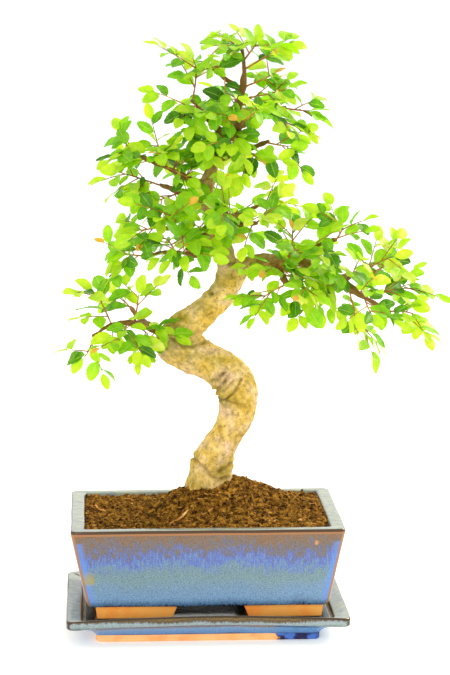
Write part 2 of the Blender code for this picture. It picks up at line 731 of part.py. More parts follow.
def advance(bm, cap, old, new):
    """Extrude the four-cornered cap from the section old to the section new."""
    cap, verts = extrude_cap(bm, cap)
    for vert in verts:
        offset = vert.co - old.centre
        wide = math.copysign(new.half_wide, offset.dot(old.wide))
        thin = math.copysign(new.half_thin, offset.dot(old.thin))
        vert.co = new.centre + new.wide * wide + new.thin * thin
    return cap


def start_twig(section):
    """A bmesh holding the four-cornered face that a twig is extruded from."""
    bm = bmesh.new()
    bmesh.ops.create_grid(bm, x_segments=1, y_segments=1, size=TWIG_HALF)
    along = section.wide.cross(section.thin)
    turn = Matrix((section.wide, section.thin, along)).transposed()
    bmesh.ops.transform(bm, matrix=turn.to_4x4(), verts=bm.verts)
    bmesh.ops.translate(bm, vec=section.centre, verts=bm.verts)
    return bm, bm.faces[:][0]


def build_twig(points, facing, nodes):
    """The bare twig, with the two side faces of each node that its leaves grow from."""
    length = (points[2] - points[0]).length
    half = NODE_HALF / length
    spots = [0.0]
    for node in nodes:
        spots += [node - half, node + half]
    spots.append(1.0)
    sections = twig_sections(points, facing, spots)
    bm, cap = start_twig(sections[0])
    roots = []
    for index, (old, new) in enumerate(zip(sections, sections[1:])):
        cap = advance(bm, cap, old, new)
        if index % 2 == 0:
            continue
        middle = (old.centre + new.centre) / 2
        ring = {face for edge in cap.edges for face in edge.link_faces} - {cap}
        for side in (1, -1):
            face = max(ring, key=lambda f: (f.calc_center_median() - middle).dot(old.wide) * side)
            along = (new.centre - old.centre).normalized()
            root = Section(face.calc_center_median(), along, old.thin, NODE_HALF, TWIG_HALF)
            roots.append((face, root, old.wide * side))
    return bm, cap, sections[-1], roots


def leaf_blade(root, out, rng, length, attempt):
    """The sections of one leaf and its tip, growing from root towards out and forward."""
    forward = LEAF_FORWARD + rng.uniform(-0.20, 0.20)
    if out is None:
        stem = root.wide.cross(root.thin)
        across = root.wide
    else:
        stem = out * math.cos(forward) + root.wide * math.sin(forward)
        across = root.wide * math.cos(forward) - out * math.sin(forward)
    normal = root.thin
    swing = attempt * math.radians(13) * (-1) ** attempt
    roll = LEAF_SHINGLE * 0.6 + rng.uniform(-0.25, 0.25) + swing
    if out is not None and across.cross(stem).dot(normal) < 0:
        roll = -roll
    lift = rng.uniform(-0.30, 0.25) - 0.5 * swing
    turn = Matrix.Rotation(lift, 3, across) @ Matrix.Rotation(roll, 3, stem)
    stem, across, normal = turn @ stem, turn @ across, turn @ normal
    half = length * LEAF_WIDTH / 2
    low = root.centre + stem * length * 0.34
    high = root.centre + stem * length * 0.68 - normal * length * 0.03
    tip = root.centre + stem * length - normal * length * 0.10
    return [
        Section(low, across, normal, half * 0.96, LEAF_HALF_THICKNESS),
        Section(high, across, normal, half * 0.84, LEAF_HALF_THICKNESS),
    ], tip


def blade_tree(sections, tip, margin):
    """A search tree of a leaf's outline, swollen by margin."""
    corners = []
    for section in sections:
        wide = section.wide * (section.half_wide + margin)
        thin = section.thin * (section.half_thin + margin)
        middle = section.centre
        corners += [middle + wide + thin, middle - wide + thin]
        corners += [middle - wide - thin, middle + wide - thin]
    corners.append(tip + (tip - sections[-1].centre).normalized() * margin)
    faces = [(0, 1, 2, 3)]
    for ring in range(0, 4 * (len(sections) - 1), 4):
        faces += [(ring + i, ring + (i + 1) % 4, ring + 4 + (i + 1) % 4, ring + 4 + i) for i in range(4)]
    last = 4 * (len(sections) - 1)
    faces += [(last + i, last + (i + 1) % 4, len(corners) - 1) for i in range(4)]
    return BVHTree.FromPolygons(corners, faces)


def crosses_itself(bm):
    """Whether two triangles of the mesh cross without sharing a corner; uses up the mesh."""
    bmesh.ops.triangulate(bm, faces=bm.faces)
    tree = BVHTree.FromBMesh(bm)
    bm.faces.ensure_lookup_table()
    crossed = any(
        not set(bm.faces[a].verts) & set(bm.faces[b].verts) for a, b in tree.overlap(tree) if a < b
    )
    bm.free()
    return crossed


def touches(tree, others):
    return any(tree.overlap(other) for other in others)


def extrude_leaf(bm, face, root, sections, tip):
    """Grow a leaf out of the face: two sections, then a point."""
    old = root
    for section in sections:
        face = advance(bm, face, old, section)
        old = section
    point = bmesh.ops.poke(bm, faces=[face])["verts"][0]
    point.co = tip


def make_spray(name, route, share, tip, material, collection, trees):
    """One twig with its leaves, clear of the wood and of the sprays made before it."""
    rng = random.Random(name)
    tip = Vector(tip)
    for attempt in range(SPRAY_TRIES):
        spread = 0.0015 + 0.0012 * attempt
        wander = Vector([rng.uniform(-spread, spread) for _ in range(3)])
        points = twig_points(route, share, tip, 0.0003 * attempt, wander + Vector((0, 0, 0.003)))
        length = (points[2] - points[0]).length
        pairs = max(2, min(MOST_PAIRS, round(length / LEAF_SPACING)))
        nodes = [(pair + 0.75) / (pairs + 0.45) for pair in range(pairs)]
        depth = -0.5 if tip.y < 0.015 else 0.5
        drift = Vector([rng.uniform(-0.4, 0.4) for _ in range(3)])
        facing = Vector((0.25 * math.copysign(1, tip.x - 0.01), depth, 0.75)) + drift
        bm, cap, end, roots = build_twig(points, facing, nodes)
        if not (touches(BVHTree.FromBMesh(bm), trees) or crosses_itself(bm.copy())):
            break
        bm.free()
    else:
        raise ValueError(f"{name} finds no clear way out of its branch")
    own = [BVHTree.FromBMesh(bm)]
    grown = 0
    for face, root, out in [(cap, end, None), *reversed(roots)]:
        size = LEAF_LENGTH * (0.72 if out is None else rng.uniform(0.84, 1.06))
        state = rng.getstate()
        for attempt in range(LEAF_TRIES):
            rng.setstate(state)
            sections, leaf_tip = leaf_blade(root, out, rng, size * (1 - 0.05 * attempt), attempt)
            whole = blade_tree([root, *sections], leaf_tip, LEAF_CLEARANCE)
            blade = blade_tree(sections, leaf_tip, LEAF_CLEARANCE)
            twisted = sections[0].thin.dot(root.thin) < LEAF_LEAST_TURN
            if twisted or touches(whole, trees) or touches(blade, own):
                continue
            bm.faces.index_update()
            trial = bm.copy()
            trial.faces.ensure_lookup_table()
            extrude_leaf(trial, trial.faces[face.index], root, sections, leaf_tip)
            if not crosses_itself(trial):
                extrude_leaf(bm, face, root, sections, leaf_tip)
                own = [BVHTree.FromBMesh(bm)]
                grown += 1
                break
    bmesh.ops.triangulate(bm, faces=bm.faces)
    trees.append(BVHTree.FromBMesh(bm))
    add_object(name, bm, material, collection)
    return grown


def centre_whole():
    """Move everything to bring the middle of the whole over the origin."""
    for obj in bpy.data.objects:
        obj.location.x -= CROWN_LEAN


def main():
    clear_scene()
    bonsai = new_collection("bonsai_in_pot")
    helpers = new_collection("cutters")
    helpers.hide_render = True
    materials = {name: make_material(name) for name in MATERIALS}
    soil_cutters = new_collection("soil_cutters")
    make_tray(materials["tray_glaze"], bonsai)
    make_pot(materials["pot_glaze"], bonsai, helpers)
    for name, side_x in (("drain_screen_left", -1), ("drain_screen_right", 1)):
        make_screen(name, side_x, materials["mesh_plastic"], bonsai)
        pocket = bmesh.new()
        verts = bmesh.ops.create_cube(pocket, size=1)["verts"]
        side = SCREEN_SIDE + SCREEN_WIRE + 2 * GAP
        bmesh.ops.scale(pocket, vec=(side, side, 2 * (SCREEN_WIRE + 2 * GAP)), verts=verts)
        bmesh.ops.translate(pocket, vec=(side_x * DRAIN_X, 0, POT_FLOOR_TOP + GAP), verts=verts)
        make_cutter(f"{name}_pocket", pocket, soil_cutters)
    wood, routes = make_wood(materials["elm_bark"], bonsai, helpers, soil_cutters)
    make_soil(materials["potting_soil"], bonsai, soil_cutters)
    trees = [wood_tree(wood)]
    leaves = 0
    for pad, sprays in SPRAYS.items():
        for number, (branch, share, tip) in enumerate(sprays, 1):
            name = f"spray_{pad}_{number:02d}"
            leaves += make_spray(name, routes[branch], share, tip, materials["elm_leaf"], bonsai, trees)
    centre_whole()
    print(f"{sum(map(len, SPRAYS.values()))} sprays, {leaves} leaves")


main()
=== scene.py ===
# %% [markdown]
# # Dressing a small elm tree in its glazed pot
#
# The solid model is already there: a pot on a drip tray, soil, one piece of wood and 54 leafy
# shoots, all at their true size and place. Loading it first gives a fixed frame to build on, so
# every finer piece below takes its place from a solid.

# %% Load the frame
import math
import random

import bmesh
import bpy
from mathutils import Matrix, Vector, noise
from mathutils.bvhtree import BVHTree
from mathutils.kdtree import KDTree


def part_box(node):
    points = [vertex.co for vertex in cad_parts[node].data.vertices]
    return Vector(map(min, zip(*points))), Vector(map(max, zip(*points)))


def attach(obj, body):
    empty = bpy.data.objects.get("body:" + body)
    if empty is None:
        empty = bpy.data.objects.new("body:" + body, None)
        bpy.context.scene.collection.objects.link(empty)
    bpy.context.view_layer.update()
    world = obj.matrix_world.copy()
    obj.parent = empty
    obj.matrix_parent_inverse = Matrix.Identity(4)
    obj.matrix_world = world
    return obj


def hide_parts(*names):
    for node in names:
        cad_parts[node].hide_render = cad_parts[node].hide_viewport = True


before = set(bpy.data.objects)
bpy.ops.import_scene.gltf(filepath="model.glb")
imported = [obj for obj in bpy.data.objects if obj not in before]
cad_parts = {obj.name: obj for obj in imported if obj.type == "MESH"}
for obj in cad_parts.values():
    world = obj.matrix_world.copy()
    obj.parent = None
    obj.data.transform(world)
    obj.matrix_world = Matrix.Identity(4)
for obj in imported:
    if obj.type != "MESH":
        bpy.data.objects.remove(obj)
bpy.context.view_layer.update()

POT_LOW, POT_HIGH = (Vector(corner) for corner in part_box("pot"))
TRAY_LOW, TRAY_HIGH = (Vector(corner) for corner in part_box("drip_tray"))
SOIL_LOW, SOIL_HIGH = (Vector(corner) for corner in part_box("soil"))
MIDDLE = Vector(((TRAY_LOW.x + TRAY_HIGH.x) / 2, (TRAY_LOW.y + TRAY_HIGH.y) / 2, 0))

# %% [markdown]
# ## Two helpers for every finish
#
# Colours are easiest to pick as sRGB hex values, but a shader socket takes linear light, so one
# function converts them. A second small function adds any node with its settings and its links,
# which keeps a material readable as a list of steps.

# %% Colour and node helpers
def linear(hex_colour):
    """An sRGB hex colour as the linear colour that a shader socket takes."""
    channels = [int(hex_colour[i : i + 2], 16) / 255 for i in (0, 2, 4)]
    return [c / 12.92 if c <= 0.04045 else ((c + 0.055) / 1.055) ** 2.4 for c in channels] + [1.0]


def add_node(material, kind, settings=None, links=None, stops=None):
    """One node: capitalised or numbered settings are inputs, the others its own options."""
    node = material.node_tree.nodes.new("ShaderNode" + kind)
    for key, value in (settings or {}).items():
        if isinstance(key, str) and key[0].islower():
            setattr(node, key, value)
        else:
            node.inputs[key].default_value = linear(value) if isinstance(value, str) else value
    for key, source in (links or {}).items():
        material.node_tree.links.new(source, node.inputs[key])
    if stops:
        ramp = node.color_ramp
        while len(ramp.elements) < len(stops):
            ramp.elements.new(1.0)
        for element, (place, colour) in zip(ramp.elements, stops):
            element.position = place
            element.color = linear(colour)
    return node


def new_material(name, settings):
    """A material with a Principled shader set up, ready for its pattern to be linked in."""
    material = bpy.data.materials.new(name)
    material.use_nodes = True
    shader = material.node_tree.nodes["Principled BSDF"]
    for key, value in settings.items():
        shader.inputs[key].default_value = linear(value) if isinstance(value, str) else value
    return material, shader


def join(material, source, target):
    """Links an output socket to an input socket."""
    material.node_tree.links.new(source, target)


# %% [markdown]
# ## The studio
#
# A plant like this is shown on a white sweep under large soft lights, bright enough for the paper
# to burn out to white and leave only a breath of shadow under the tray. A white world gives the
# wrap-round light, and the paper glows a little by itself, as overlit paper seems to. One broad
# lamp in front and to the left, higher than the tree, gives form to the front. One above and
# behind on the right puts the pale edge on the trunk and lights the leaves from the back.

# %% Floor, world and lamps
scene = bpy.context.scene
scene.view_settings.view_transform = "Standard"
scene.view_settings.look = "None"
PAPER_GLOW = 0.28
WORLD_LIGHT = 1.03

paper, shader = new_material("matt_white_sweep_paper", {"Base Color": "FDFDFC", "Roughness": 0.9})
shader.inputs["Emission Color"].default_value = linear("FFFDF4")
shader.inputs["Emission Strength"].default_value = PAPER_GLOW
floor_mesh = bpy.data.meshes.new("floor")
bm = bmesh.new()
bmesh.ops.create_grid(bm, x_segments=1, y_segments=1, size=8)
bm.to_mesh(floor_mesh)
bm.free()
floor_mesh.materials.append(paper)
floor = bpy.data.objects.new("floor", floor_mesh)
scene.collection.objects.link(floor)

world = bpy.data.worlds.new("white_studio")
scene.world = world
world.use_nodes = True
world.node_tree.nodes["Background"].inputs["Color"].default_value = linear("FFFFFD")
world.node_tree.nodes["Background"].inputs["Strength"].default_value = WORLD_LIGHT


def add_lamp(name, place, target, size, power, colour):
    """A square softbox of a size in metres, turned to face a point."""
    lamp = bpy.data.lights.new(name, "AREA")
    lamp.shape = "SQUARE"
    lamp.size = size
    lamp.energy = power
    lamp.color = linear(colour)[:3]
    holder = bpy.data.objects.new(name, lamp)
    holder.location = place
    holder.rotation_euler = (Vector(target) - Vector(place)).to_track_quat("-Z", "Y").to_euler()
    scene.collection.objects.link(holder)


add_lamp("front_left_softbox", (-0.9, -1.7, 0.8), (0, 0, 0.15), 1.0, 13, "FFF4DE")
add_lamp("back_right_softbox", (1.1, 0.9, 1.1), (0, 0, 0.25), 0.8, 34, "FFF2D8")

# %% [markdown]
# ## The camera
#
# A long lens two metres away keeps the pot's sides nearly parallel. It looks down by about nine
# degrees, which shows the soil and the rim as thin bands and the leaves from slightly above.

# %% Camera
CAMERA_PLACE = Vector((-0.0867, -1.9568, 0.5204)) + MIDDLE
CAMERA_YAW = -0.0524
CAMERA_PITCH = 0.1517
LENS_MM = 138.7  # on a sensor 36 mm along its long side

camera = bpy.data.objects.new("camera", bpy.data.cameras.new("camera"))
camera.data.lens = LENS_MM
camera.location = CAMERA_PLACE
camera.rotation_euler = (math.pi / 2 - CAMERA_PITCH, 0, CAMERA_YAW)
scene.collection.objects.link(camera)
scene.camera = camera


# %% [markdown]
# ## How a finished piece enters the scene
#
# Each finer piece stands for one solid, hides it and hangs from the root body. One function does
# this for all of them, and shades the piece smooth and gives it its finishes.

# %% Piece helper
def make_piece(name, bm, materials, node):
    """A smooth-shaded object from a bmesh, put in place of a solid."""
    mesh = bpy.data.meshes.new(name)
    bm.to_mesh(mesh)
    bm.free()
    for material in materials:
        mesh.materials.append(material)
    mesh.shade_smooth()
    piece = bpy.data.objects.new(name, mesh)
    scene.collection.objects.link(piece)
    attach(piece, "root")
    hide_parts(node)
    return piece


def merge(target, source):
    """Moves everything in one bmesh into another."""
    mesh = bpy.data.meshes.new("part")
    source.to_mesh(mesh)
    source.free()
    target.from_mesh(mesh)
    bpy.data.meshes.remove(mesh)


# %% [markdown]
# ## Flambé glaze on the pot's wall
#
# The pot is stoneware dipped in an iron glaze with a blue rutile glaze over it. In the kiln the
# two run together: brown-grey where the coat is thin under the rim, then a ragged belt of vivid
# blue streaks, then a calm speckled grey-blue where it gathers. So the pattern is a colour ramp
# up the wall whose height is disturbed by noise: a slow noise bends the belt, and a noise
# stretched downhill makes streaks about 1.3 mm wide, as glaze runs. On every sharp edge the
# molten glaze thins and the brown body shows, which a painted attribute called "worn" marks.
# Fired glaze is glass: an IOR near 1.5 and a smooth surface with a slight orange peel.

# %% Wall glaze
WALL_COLOURS = [
    (0.000, "242C48"),
    (0.020, "46688E"),
    (0.130, "6288B0"),
    (0.270, "6484A2"),
    (0.390, "66848E"),
    (0.470, "647F8C"),
    (0.550, "5A78A2"),
    (0.630, "4E69BA"),
    (0.700, "526098"),
    (0.760, "5F5C6C"),
    (0.860, "6A5E56"),
    (0.950, "6E5848"),
    (1.000, "7A583A"),
]
STREAK_PER_M = 780  # one streak in about 1.3 mm
STREAK_STRETCH = 0.16  # streaks run six times as long as they are wide
SPECK_PER_M = 1500


def wall_glaze(name, colours, low, high, streak_strength, edge_colour):
    """Glaze that ran downhill between two heights, with brown edges."""
    material, shader = new_material(name, {"Roughness": 0.2, "IOR": 1.5})
    coords = add_node(material, "TexCoord").outputs["Object"]
    height = add_node(material, "SeparateXYZ", links={"Vector": coords}).outputs["Z"]
    share = add_node(
        material, "MapRange", {"From Min": low, "From Max": high, "clamp": False}, {"Value": height}
    ).outputs["Result"]
    slow = add_node(material, "TexNoise", {"Scale": 34.0, "Detail": 1.0}, {"Vector": coords})
    bend = add_node(
        material,
        "MapRange",
        {"From Min": 0.3, "From Max": 0.7, "To Min": -0.05, "To Max": 0.05},
        {"Value": slow.outputs["Fac"]},
    )
    downhill = add_node(
        material, "Mapping", {"Scale": (1, 1, STREAK_STRETCH)}, {"Vector": coords}
    )
    streak = add_node(
        material,
        "TexNoise",
        {"Scale": STREAK_PER_M, "Detail": 2.0, "Roughness": 0.6},
        {"Vector": downhill.outputs["Vector"]},
    )
    ragged = add_node(
        material,
        "MapRange",
        {
            "From Min": 0.3,
            "From Max": 0.7,
            "To Min": -streak_strength,
            "To Max": streak_strength,
        },
        {"Value": streak.outputs["Fac"]},
    )
    bent = add_node(
        material,
        "Math",
        {"operation": "ADD"},
        {0: share, 1: bend.outputs["Result"]},
    )
    runny = add_node(
        material,
        "MapRange",
        {"From Min": 0.30, "From Max": 0.62, "To Min": 0.22, "To Max": 1.0},
        {"Value": share},
    )
    level = add_node(
        material,
        "Math",
        {"operation": "MULTIPLY_ADD"},
        {0: ragged.outputs["Result"], 1: runny.outputs["Result"], 2: bent.outputs["Value"]},
    )
    flow = add_node(material, "ValToRGB", links={"Fac": level.outputs["Value"]}, stops=colours)
    speck = add_node(
        material, "TexNoise", {"Scale": SPECK_PER_M, "Detail": 0.0}, {"Vector": coords}
    )
    grain = add_node(
        material,
        "MapRange",
        {"From Min": 0.3, "From Max": 0.7, "To Min": 0.74, "To Max": 1.22},
        {"Value": speck.outputs["Fac"]},
    )
    speckled = add_node(
        material,
        "Mix",
        {"data_type": "RGBA", "blend_type": "MULTIPLY", 0: 1.0},
        {6: flow.outputs["Color"], 7: grain.outputs["Result"]},
    )
    pooled = add_node(material, "Attribute", {"attribute_name": "pooled"}).outputs["Fac"]
    pool_share = add_node(
        material,
        "MapRange",
        {"From Min": 0.68, "From Max": 0.98, "To Min": 0.0, "To Max": 0.6},
        {"Value": pooled},
    )
    pool = add_node(
        material,
        "Mix",
        {"data_type": "RGBA", 7: "5684D8"},
        {0: pool_share.outputs["Result"], 6: speckled.outputs[2]},
    )
    worn = add_node(material, "Attribute", {"attribute_name": "worn"}).outputs["Fac"]
    rough_edge = add_node(
        material,
        "Math",
        {"operation": "MULTIPLY_ADD", 1: 0.5},
        {0: streak.outputs["Fac"], 2: worn},
    )
    break_share = add_node(
        material,
        "MapRange",
        {"From Min": 0.75, "From Max": 1.0},
        {"Value": rough_edge.outputs["Value"]},
    )
    broken = add_node(
        material,
        "Mix",
        {"data_type": "RGBA", 7: edge_colour},
        {0: break_share.outputs["Result"], 6: pool.outputs[2]},
    )
    join(material, broken.outputs[2], shader.inputs["Base Color"])
    peel = add_node(material, "TexNoise", {"Scale": 420.0, "Detail": 1.0}, {"Vector": coords})
    bump = add_node(
        material,
        "Bump",
        {"Strength": 0.25, "Distance": 0.0003},
        {"Height": peel.outputs["Fac"]},
    )
    join(material, bump.outputs["Normal"], shader.inputs["Normal"])
    return material


def add_spot(material, shader, place, radius, colour):
    """A soft spot of another colour, where an iron speck bled into the glaze."""
    links = shader.inputs["Base Color"].links
    coords = add_node(material, "TexCoord").outputs["Object"]
    wander = add_node(material, "TexNoise", {"Scale": 300.0, "Detail": 2.0}, {"Vector": coords})
    away = add_node(
        material, "VectorMath", {"operation": "DISTANCE", 1: tuple(place)}, {0: coords}
    ).outputs["Value"]
    ragged = add_node(
        material,
        "Math",
        {"operation": "MULTIPLY_ADD", 1: radius * 1.6},
        {0: wander.outputs["Fac"], 2: away},
    )
    share = add_node(
        material,
        "MapRange",
        {"From Min": radius * 1.3, "From Max": radius * 2.1, "To Min": 0.75, "To Max": 0.0},
        {"Value": ragged.outputs["Value"]},
    )
    spotted = add_node(
        material,
        "Mix",
        {"data_type": "RGBA", 7: colour},
        {0: share.outputs["Result"], 6: links[0].from_socket},
    )
    join(material, spotted.outputs[2], shader.inputs["Base Color"])


WALL_LOW, WALL_HIGH = POT_LOW.z + 0.0098, POT_HIGH.z - 0.002
pot_glaze = wall_glaze("blue_flambe_glaze", WALL_COLOURS, WALL_LOW, WALL_HIGH, 0.17, "96643A")
pot_shader = pot_glaze.node_tree.nodes["Principled BSDF"]
add_spot(pot_glaze, pot_shader, MIDDLE + Vector((-0.0890, -0.0690, 0.0500)), 0.0050, "9A8C40")
add_spot(pot_glaze, pot_shader, MIDDLE + Vector((0.0805, -0.0742, 0.0772)), 0.0018, "D89038")

# %% [markdown]
# ## Rim glaze and bare clay
#
# On the flat rim the glaze lies still, so it turns out an even grey-blue with a soft mottle; its
# pale tone is partly the glaze and partly a painted reflection of the white studio, which level
# faces catch. The tray's floor under the pot gets a near-black glaze that is painted shade. The
# feet are wiped clean before firing, or they would stick to the kiln shelf, so they show the bare
# orange clay: dry, slightly grainy, with a few darker flashes.

# %% Rim glaze and clay
def level_face_glaze(name, light, dark):
    """Glaze on a level face: two tones in a soft mottle, brown edges; the tones given paint light."""
    material, shader = new_material(name, {"Roughness": 0.16, "IOR": 1.5})
    coords = add_node(material, "TexCoord").outputs["Object"]
    mottle = add_node(
        material, "TexNoise", {"Scale": 160.0, "Detail": 4.0, "Roughness": 0.65}, {"Vector": coords}
    )
    tone = add_node(
        material,
        "ValToRGB",
        links={"Fac": mottle.outputs["Fac"]},
        stops=[(0.32, dark), (0.62, light)],
    )
    worn = add_node(material, "Attribute", {"attribute_name": "worn"}).outputs["Fac"]
    rough_edge = add_node(
        material,
        "Math",
        {"operation": "MULTIPLY_ADD", 1: 0.5},
        {0: mottle.outputs["Fac"], 2: worn},
    )
    break_share = add_node(
        material,
        "MapRange",
        {"From Min": 0.75, "From Max": 1.05},
        {"Value": rough_edge.outputs["Value"]},
    )
    broken = add_node(
        material,
        "Mix",
        {"data_type": "RGBA", 7: "4A3018"},
        {0: break_share.outputs["Result"], 6: tone.outputs["Color"]},
    )
    join(material, broken.outputs[2], shader.inputs["Base Color"])
    bump = add_node(
        material, "Bump", {"Strength": 0.2, "Distance": 0.0003}, {"Height": mottle.outputs["Fac"]}
    )
    join(material, bump.outputs["Normal"], shader.inputs["Normal"])
    return material


def bare_clay(name, light, dark, run_from=None):
    """Unglazed fired clay, grainy at 0.5 mm; glaze may have run over it beyond one point in x."""
    material, shader = new_material(name, {"Roughness": 0.75, "Specular IOR Level": 0.3})
    coords = add_node(material, "TexCoord").outputs["Object"]
    flash = add_node(material, "TexNoise", {"Scale": 90.0, "Detail": 3.0}, {"Vector": coords})
    tone = add_node(
        material,
        "ValToRGB",
        links={"Fac": flash.outputs["Fac"]},
        stops=[(0.3, dark), (0.55, light)],
    )
    join(material, tone.outputs["Color"], shader.inputs["Base Color"])
    if run_from is not None:
        x = add_node(material, "SeparateXYZ", links={"Vector": coords}).outputs["X"]
        edge = add_node(
            material, "Math", {"operation": "MULTIPLY_ADD", 1: 0.03}, {0: flash.outputs["Fac"], 2: x}
        )
        run = add_node(
            material,
            "MapRange",
            {"From Min": run_from + 0.014, "From Max": run_from + 0.016},
            {"Value": edge.outputs["Value"]},
        )
        blues = add_node(
            material,
            "ValToRGB",
            links={"Fac": flash.outputs["Fac"]},
            stops=[(0.42, "2A1C18"), (0.5, "22285C"), (0.6, "4C74C8")],
        )
        covered = add_node(
            material,
            "Mix",
            {"data_type": "RGBA"},
            {0: run.outputs["Result"], 6: tone.outputs["Color"], 7: blues.outputs["Color"]},
        )
        join(material, covered.outputs[2], shader.inputs["Base Color"])
    grog = add_node(material, "TexNoise", {"Scale": 1800.0, "Detail": 2.0}, {"Vector": coords})
    bump = add_node(
        material, "Bump", {"Strength": 0.4, "Distance": 0.0002}, {"Height": grog.outputs["Fac"]}
    )
    join(material, bump.outputs["Normal"], shader.inputs["Normal"])
    return material


# pale rim tones: partly the glaze, partly a painted reflection of the white studio
rim_glaze_and_reflection = level_face_glaze("rim_glaze_with_painted_reflection", "A4AA98", "7C8C96")
# near-black painted shade for the tray floor under the pot, between the feet
under_pot_shade_glaze = level_face_glaze("painted_shade_under_pot", "2C302A", "14181A")
clay = bare_clay("bare_terracotta_clay", "FFB458", "FF9A40")
tray_clay = bare_clay("pale_tray_clay", "FFC080", "F8A868", MIDDLE.x + 0.052)

# %% [markdown]
# ## The pot
#
# A slab-built pot could be a box with a bevel, but its wall leans, its corners are round and its
# edges are soft with glaze. So a level plate with rounded corners is extruded from ring to ring:
# under the floor, up the outside, over the rim and down the inside. Rings set close together at
# an edge make it round. Cuts along the straight sides let the wall bow by a fraction of a
# millimetre, as pressed clay does. The "worn" attribute goes from 0 on the flats to 1 on the
# edges. The two drainage holes are left out here, because soil and tray hide them.

# %% Ring helpers
def rounded_plate(length, depth, z, corner):
    """A bmesh holding one level oblong face with rounded corners and cuts along its sides."""
    bm = bmesh.new()
    bmesh.ops.create_grid(bm, x_segments=1, y_segments=1, size=0.5)
    bmesh.ops.scale(bm, vec=(length, depth, 1), verts=bm.verts)
    bmesh.ops.translate(bm, vec=(0, 0, z), verts=bm.verts)
    bmesh.ops.bevel(
        bm, geom=bm.verts[:], offset=corner, segments=6, profile=0.5, affect="VERTICES", material=-1
    )
    sides = [edge for edge in bm.edges if edge.calc_length() > 0.02]
    bmesh.ops.subdivide_edges(bm, edges=sides, cuts=14)
    return bm


def extrude_cap(bm, cap):
    """Extrudes a face and returns the new one with its vertices; only a loose plate stays."""
    loose = all(edge.is_boundary for edge in cap.edges)
    grown = bmesh.ops.extrude_face_region(bm, geom=[cap])["geom"]
    if not loose:
        bmesh.ops.delete(bm, geom=[cap], context="FACES_ONLY")
    verts = [e for e in grown if isinstance(e, bmesh.types.BMVert)]
    return next(e for e in grown if isinstance(e, bmesh.types.BMFace)), verts


def stack_rings(bm, length, depth, rings):
    """Extrudes the plate through rings of (length, depth, z, worn), marking the worn edges."""
    worn = bm.verts.layers.float.new("worn")
    cap = bm.faces[:][0]
    z = cap.verts[0].co.z
    for new_length, new_depth, new_z, mark in rings:
        cap, verts = extrude_cap(bm, cap)
        bmesh.ops.scale(bm, vec=(new_length / length, new_depth / depth, 1), verts=verts)
        bmesh.ops.translate(bm, vec=(0, 0, new_z - z), verts=verts)
        for vert in verts:
            vert[worn] = mark
        length, depth, z = new_length, new_depth, new_z
    return worn


def wear_corners(bm, worn, low, high, strength):
    """Marks the middle of each rounded upright corner between two heights."""
    for vert in bm.verts:
        if not low < vert.co.z < high:
            continue
        normal = Vector((abs(vert.normal.x), abs(vert.normal.y)))
        diagonal = min(normal) / max(max(normal), 1e-6)
        if diagonal > 0.35:
            vert[worn] = max(vert[worn], strength * min(1, diagonal + 0.2))


def pool_beside_corners(bm, low, high):
    """Marks the wall beside its upright corners, where the glaze gathers thick and blue."""
    pooled = bm.verts.layers.float.new("pooled")
    for vert in bm.verts:
        normal = Vector((abs(vert.normal.x), abs(vert.normal.y)))
        if low < vert.co.z < high and min(normal) / max(max(normal), 1e-6) > 0.05:
            vert[pooled] = 1.0


def bow_walls(bm, amount, seed):
    """Moves each vertex by a slow noise, as hand-pressed clay; one seed gives one and the same bow."""
    noise.seed_set(seed)
    for vert in bm.verts:
        vert.co += noise.noise_vector(vert.co * 22) * amount


# %% Model the pot
POT_LENGTH, POT_DEPTH = 0.205, 0.150
POT_BASE_LENGTH, POT_BASE_DEPTH = 0.1826, 0.1335
POT_UNDER, POT_RIM = 0.0272, POT_HIGH.z
RIM_WIDTH = 0.0105
WALL_RINGS = 12


def pot_rings():
    """Rings of (length, depth, z, worn) from under the floor to the inside of the floor."""
    long, deep, base_x, base_y = POT_LENGTH, POT_DEPTH, POT_BASE_LENGTH, POT_BASE_DEPTH
    rings = [
        (base_x - 0.0045, base_y - 0.0045, POT_UNDER + 0.0002, 0.3),
        (base_x - 0.0026, base_y - 0.0026, POT_UNDER + 0.0010, 0.5),
        (base_x - 0.0010, base_y - 0.0010, POT_UNDER + 0.0024, 0.1),
    ]
    low, high = POT_UNDER + 0.0042, POT_RIM - 0.0060
    for step in range(WALL_RINGS + 1):
        share = step / WALL_RINGS
        rings.append(
            (
                base_x + (long - 0.0016 - base_x) * share,
                base_y + (deep - 0.0016 - base_y) * share,
                low + (high - low) * share,
                0.0,
            )
        )
    rings += [
        (long - 0.0008, deep - 0.0008, POT_RIM - 0.0042, 0.1),
        (long - 0.0004, deep - 0.0004, POT_RIM - 0.0034, 1.0),
        (long, deep, POT_RIM - 0.0022, 0.9),
        (long - 0.0003, deep - 0.0003, POT_RIM - 0.0012, 1.0),
        (long - 0.0012, deep - 0.0012, POT_RIM - 0.0004, 1.0),
        (long - 0.0034, deep - 0.0034, POT_RIM, 0.2),
        (long - 0.0060, deep - 0.0060, POT_RIM, 0.0),
    ]
    mouth_x, mouth_y = long - 2 * RIM_WIDTH, deep - 2 * RIM_WIDTH
    rings += [
        (mouth_x + 0.0040, mouth_y + 0.0040, POT_RIM, 0.0),
        (mouth_x + 0.0012, mouth_y + 0.0012, POT_RIM - 0.0003, 0.3),
        (mouth_x + 0.0002, mouth_y + 0.0002, POT_RIM - 0.0013, 0.6),
        (mouth_x, mouth_y, POT_RIM - 0.0030, 0.0),
        (base_x - 0.011, base_y - 0.011, 0.0410, 0.0),
        (base_x - 0.019, base_y - 0.019, 0.0350, 0.0),
    ]
    return rings


